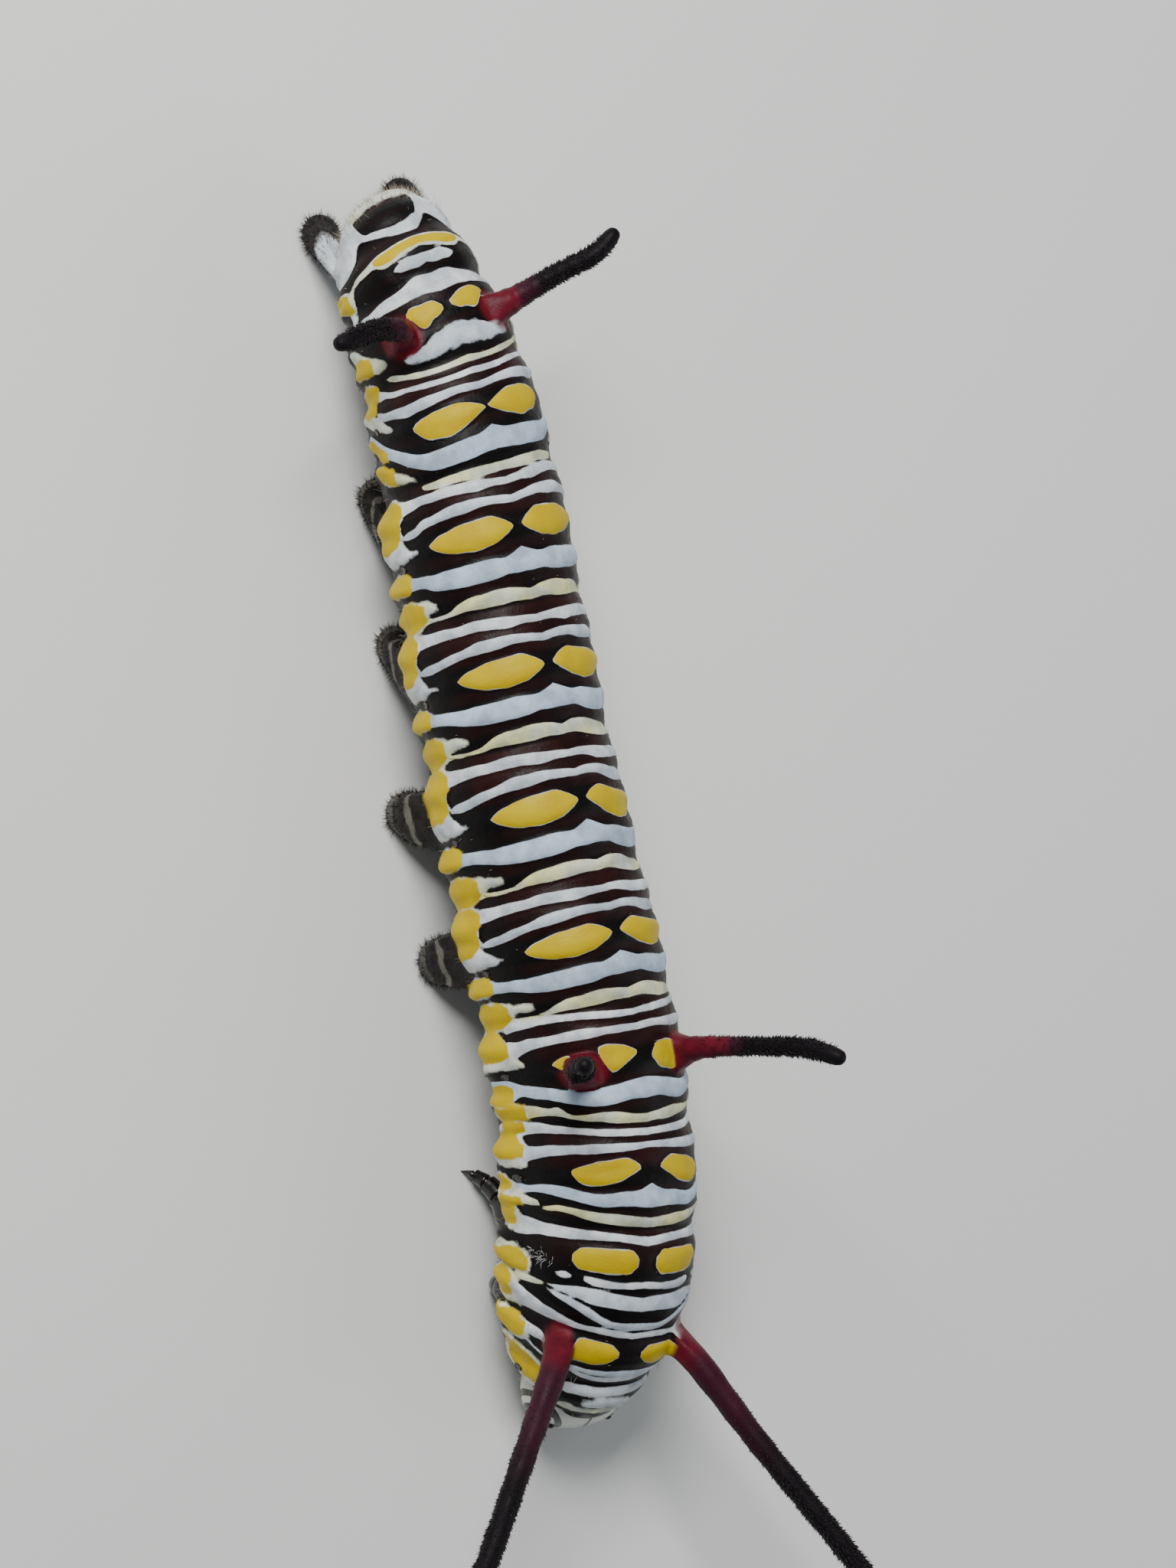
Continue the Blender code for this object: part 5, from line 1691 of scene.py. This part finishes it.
# %% Single hairs on the body
# place along the body, angle on both sides, their spreads, how many, length, sweep towards the tail
HAIR_FIELDS = ((0.6, 85, 0.45, 26, 130, (0.20, 0.45), -0.2), (1.7, 100, 0.4, 14, 60, (0.15, 0.35), 0.1),
               (6.5, 112, 3.6, 9, 420, (0.12, 0.30), 0.1), (13.0, 0, 0.16, 32, 330, (0.12, 0.30), 0.5),
               (12.9, 75, 0.3, 30, 150, (0.18, 0.42), 0.5), (6.5, 0, 4.2, 70, 260, (0.06, 0.14), 0.2))
# the same for one tuft on the right flank, upright
TUFT = (2.68, 69, 0.035, 6, 46, (0.16, 0.30), 0.0)


def skin_frame(u, phi):
    """Places on the skin, the way out of it and the way to the tail."""
    spot = skin_points(u, phi)
    tailward = unit(skin_points(u + 0.02, phi) - skin_points(u - 0.02, phi))
    around = unit(skin_points(u, phi + 0.5) - skin_points(u, phi - 0.5))
    return spot, unit(np.cross(tailward, around)), tailward


def field(u, phi, spread_u, spread_phi, count, lengths, sweep, both=True, wild=0.35, width=0.009):
    """Hairs scattered round a place, on both flanks or only on the right one."""
    side = chance.choice((-1, 1), count) if both else np.ones(count)
    at = np.clip(u + chance.normal(0, 1, count) * spread_u, 0.05, 13.2)
    angle = side * (phi + chance.normal(0, 1, count) * spread_phi)
    spot, outward, tailward = skin_frame(at, angle)
    headings = unit(outward + sweep * tailward + chance.normal(0, wild, (count, 3)))
    unwrap = MARGIN + FULL * np.stack([at / 13.5, ((angle + 180) % 360) / 360], axis=-1)
    return (spot - SUNK * outward, headings, chance.uniform(*lengths, count), np.full(count, width),
            0.3 * sweep * tailward, unwrap)


fields = [field(*values) for values in HAIR_FIELDS]
body_hairs = hairs("body_hairs", *[np.concatenate(values) for values in zip(*fields)])
tuft = hairs("flank_tuft", *field(*TUFT, both=False, wild=0.8, width=0.012))
print("body hairs:", len(body_hairs.data.polygons), "faces")

# %% [markdown]
# ## Finishes of the hard parts and the hairs
#
# Legs, feelers, jaws, eyelets and breathing holes are black horn: hard, glossy, finely pitted and browner
# in patches. One material with noise for its colour, gloss and pits serves them all. The face is white
# with two black arcs round each cheek and a black wedge over the lip. The arcs are bands of distance from
# a point on the cheek, so that they run as evenly as on the real shell.

# %% Finish of a hard part


def finish(tree, surface, colour, rough_low, rough_high, pores, creases, depth):
    """Colour, roughness that varies a little, and grain."""
    tree.links.new(colour, surface.inputs["Base Color"])
    tree.links.new(use(tree, mottle, "Value", Scale=2.2, Low=rough_low, High=rough_high),
                   surface.inputs["Roughness"])
    relief_node = add(tree, "ShaderNodeBump")
    relief_node.inputs["Distance"].default_value = MM
    tree.links.new(use(tree, grain, "Height", Pores=pores, Creases=creases, Depth=depth),
                   relief_node.inputs["Height"])
    tree.links.new(relief_node.outputs["Normal"], surface.inputs["Normal"])


# %% Black horn
HORN_BLACK, HORN_BROWN = (0.004, 0.0035, 0.0035), (0.020, 0.011, 0.008)
horn, tree, surface = new_material("black horn")
horn_colour = mix_colour(tree, use(tree, mottle, "Value", Scale=1.7, Low=0.0, High=0.7),
                         HORN_BLACK, HORN_BROWN)
finish(tree, surface, horn_colour, 0.16, 0.34, 9.0, 3.0, 0.008)
surface.inputs["Coat Weight"].default_value = 0.25
surface.inputs["Coat Roughness"].default_value = 0.12
for piece in [jaws, eyes, breathing_holes] + antennae + true_legs:
    paint_piece(piece, horn)
print("horn on", 3 + len(antennae + true_legs), "pieces")

# %% The face
# places on the shell are in degrees, distances in millimetres, and a degree has its length on the shell
CHEEK = (62, 2)
ARC_EDGES = ((0.24, 0.46), (0.66, 0.86))
WEDGE_TOP, WEDGE_WIDE = 14, 30
BACK_EDGE, CHIN_EDGE = 118, -48
MIDDLE_HALF, CROWN_HALF, CROWN_HEIGHT = 0.05, 0.10, 52
DEGREE_UP, DEGREE_ROUND, DEGREE_CROWN = 0.024, 0.026, 0.022


def face_marks(azimuth, height):
    """Distance in millimetres from the edge of the black on the face, positive inside the black."""
    spot = head_points(azimuth, height)
    cheek = head_points(np.sign(azimuth + 1e-6) * CHEEK[0], np.full(len(azimuth), float(CHEEK[1])))
    reach = np.linalg.norm((spot - cheek) * (1.0, 1.0, 0.85), axis=1)
    arcs = np.max([np.minimum(reach - low, high - reach) for low, high in ARC_EDGES], axis=0)
    behind = 0.9 * (np.abs(azimuth) - BACK_EDGE) / 40
    wedge = np.minimum((WEDGE_TOP - height) * DEGREE_UP,
                       (WEDGE_WIDE * (WEDGE_TOP - height) / 60 - np.abs(azimuth)) * DEGREE_ROUND)
    middle = MIDDLE_HALF - np.abs(azimuth) * DEGREE_UP
    chin = (CHIN_EDGE - height) * DEGREE_UP
    crown = np.where(height > -10, CROWN_HALF - np.abs(height - CROWN_HEIGHT) * DEGREE_CROWN, -1.0)
    return np.max([arcs, behind, wedge, middle, chin, crown], axis=0)


black = face_marks(read(head.data, "azimuth"), read(head.data, "height"))
write(head.data, "black", black)
print("share of the shell's corners that are black:", round(float((black > 0).mean()), 2))

# %% The paint of the face
IVORY, WARM_IVORY, FACE_BLACK = (0.66, 0.68, 0.66), (0.74, 0.73, 0.60), (0.006, 0.005, 0.005)
face_paint, tree, surface = new_material("face")
black_mask = use(tree, ragged, "Mask", Distance=attribute(tree, "black"), Wobble=0.03,
                 Softness=0.012, Scale=2.4)
ivory = mix_colour(tree, use(tree, mottle, "Value", Scale=1.5, Low=0.0, High=1.0), IVORY, WARM_IVORY)
face_colour = mix_colour(tree, black_mask, ivory, FACE_BLACK)
finish(tree, surface, face_colour, 0.20, 0.36, 10.0, 2.0, 0.006)
surface.inputs["Coat Weight"].default_value = 0.3
surface.inputs["Coat Roughness"].default_value = 0.12
for piece in (head, lip):
    paint_piece(piece, face_paint)
print("face painted")

# %% Hairs
TIP_SHARE = 0.7


def hair_material(name, root_colour, tip_colour, roughness):
    """A hair shades from root to tip, and each hair is a little lighter or darker than the next."""
    made, tree, surface = new_material(name)
    share_of_tip = plus(tree, times(tree, attribute(tree, "tip"), TIP_SHARE),
                        times(tree, attribute(tree, "shade"), 1 - TIP_SHARE))
    tree.links.new(mix_colour(tree, share_of_tip, root_colour, tip_colour), surface.inputs["Base Color"])
    surface.inputs["Roughness"].default_value = roughness
    return made


# colour at the root and at the tip, and roughness
HAIR_PAINTS = (
    (bristles, "filament bristle", (0.010, 0.005, 0.007), (0.022, 0.014, 0.018), 0.55),
    (fuzz, "foot bristle", (0.012, 0.010, 0.009), (0.09, 0.08, 0.07), 0.5),
    (body_hairs, "body hair", (0.25, 0.20, 0.13), (0.62, 0.55, 0.42), 0.45),
    (tuft, "white tuft", (0.45, 0.46, 0.46), (0.75, 0.76, 0.76), 0.5))
for piece, *paint_of_hair in HAIR_PAINTS:
    paint_piece(piece, hair_material(*paint_of_hair))
print("hairs painted:", len(HAIR_PAINTS), "pieces")

# %% [markdown]
# ## Fastening the pieces
#
# The model is still, so every piece is fastened to the one body. Each one names the solids whose place it
# takes.

# %% What each piece stands for
SEGMENTS = ["prothorax", "mesothorax", "metathorax"] + [f"abdomen_{n}" for n in range(1, 11)]


def settle(piece, nodes=()):
    """Fasten a piece to the model and hide the solids that it stands for."""
    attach(piece, "root")
    if nodes:
        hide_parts(*nodes)


settle(skin, SEGMENTS + [limb["name"] for limb in limbs])
settle(head, ["head"])
settle(eyes)
settle(lip)
settle(jaws)
for feeler in antennae:
    settle(feeler, [feeler.name.replace("feeler", "antenna")])
for leg in true_legs:
    settle(leg, [leg.name.replace("true_leg", "leg")])
settle(bristles)
settle(fuzz)
settle(body_hairs)
settle(tuft)
settle(breathing_holes)
print("pieces fastened")

# %% [markdown]
# ## Light and camera
#
# The floor is plain and pale. A broad light stands high on the left of the view, where the daylight comes
# from, and a weaker one fills the shadows from the right. The camera looks down on the back from above the
# right flank.

# %% Floor and light
FLOOR_SIZE = 1.2
AIM = Vector((4.0, 4.09, 3.5)) * MM
clear()
bpy.ops.mesh.primitive_plane_add(size=FLOOR_SIZE)
floor = bpy.context.object
floor.name = "floor"
floor_paint, _, surface = new_material("pale floor")
surface.inputs["Base Color"].default_value = (0.86, 0.87, 0.85, 1)
surface.inputs["Roughness"].default_value = 0.8
paint_piece(floor, floor_paint)
floor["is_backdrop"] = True

world = bpy.data.worlds.new("soft room")
bpy.context.scene.world = world
world.use_nodes = True
background = world.node_tree.nodes["Background"]
background.inputs["Color"].default_value = (0.80, 0.86, 0.92, 1)
background.inputs["Strength"].default_value = 0.22

# name, place from the aim and size in millimetres, power in watts, colour
LIGHTS = (("sky", (-55, 95, 130), 75, 0.33, (1.0, 0.985, 0.96)),
          ("fill", (120, -60, 90), 90, 0.05, (0.92, 0.96, 1.0)))
for name, spot, size, power, colour in LIGHTS:
    bpy.ops.object.light_add(type="AREA", location=AIM + Vector(spot) * MM)
    lamp = bpy.context.object
    lamp.name = name
    lamp.data.size = size * MM
    lamp.data.energy = power
    lamp.data.color = colour
    lamp.rotation_euler = (AIM - lamp.location).to_track_quat("-Z", "Y").to_euler()
print("lights:", [light[0] for light in LIGHTS])

# %% Camera
CAMERA_TILT = math.radians(29)
CAMERA_TURN = math.radians(9.2)
CAMERA_DISTANCE = 130 * MM
CAMERA_LENS = 99.56
back_to_camera = Vector((-math.sin(CAMERA_TILT), 0, math.cos(CAMERA_TILT)))
level = Vector((math.cos(CAMERA_TILT), 0, math.sin(CAMERA_TILT)))
along_body = Vector((0, 1, 0))
camera_up = math.cos(CAMERA_TURN) * along_body + math.sin(CAMERA_TURN) * level
camera_right = math.cos(CAMERA_TURN) * level - math.sin(CAMERA_TURN) * along_body
camera_data = bpy.data.cameras.new("camera")
camera_data.sensor_width = 36
camera_data.lens = CAMERA_LENS
camera_data.clip_start = 0.005
camera_data.clip_end = 20
camera = bpy.data.objects.new("camera", camera_data)
bpy.context.collection.objects.link(camera)
turned = Matrix((camera_right, camera_up, back_to_camera)).transposed().to_4x4()
camera.matrix_world = Matrix.Translation(AIM + CAMERA_DISTANCE * back_to_camera) @ turned
bpy.context.scene.camera = camera
print("camera:", CAMERA_LENS, "mm lens,", round(CAMERA_DISTANCE / MM), "mm away")

# %% The boxes of the solids and of the dressed model
bpy.context.view_layer.update()
dressed = [list(corner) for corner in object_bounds()]
for word, box in (("solids", CAD_BOX), ("dressed", dressed)):
    print(word, [[round(value / MM, 2) for value in corner] for corner in box])
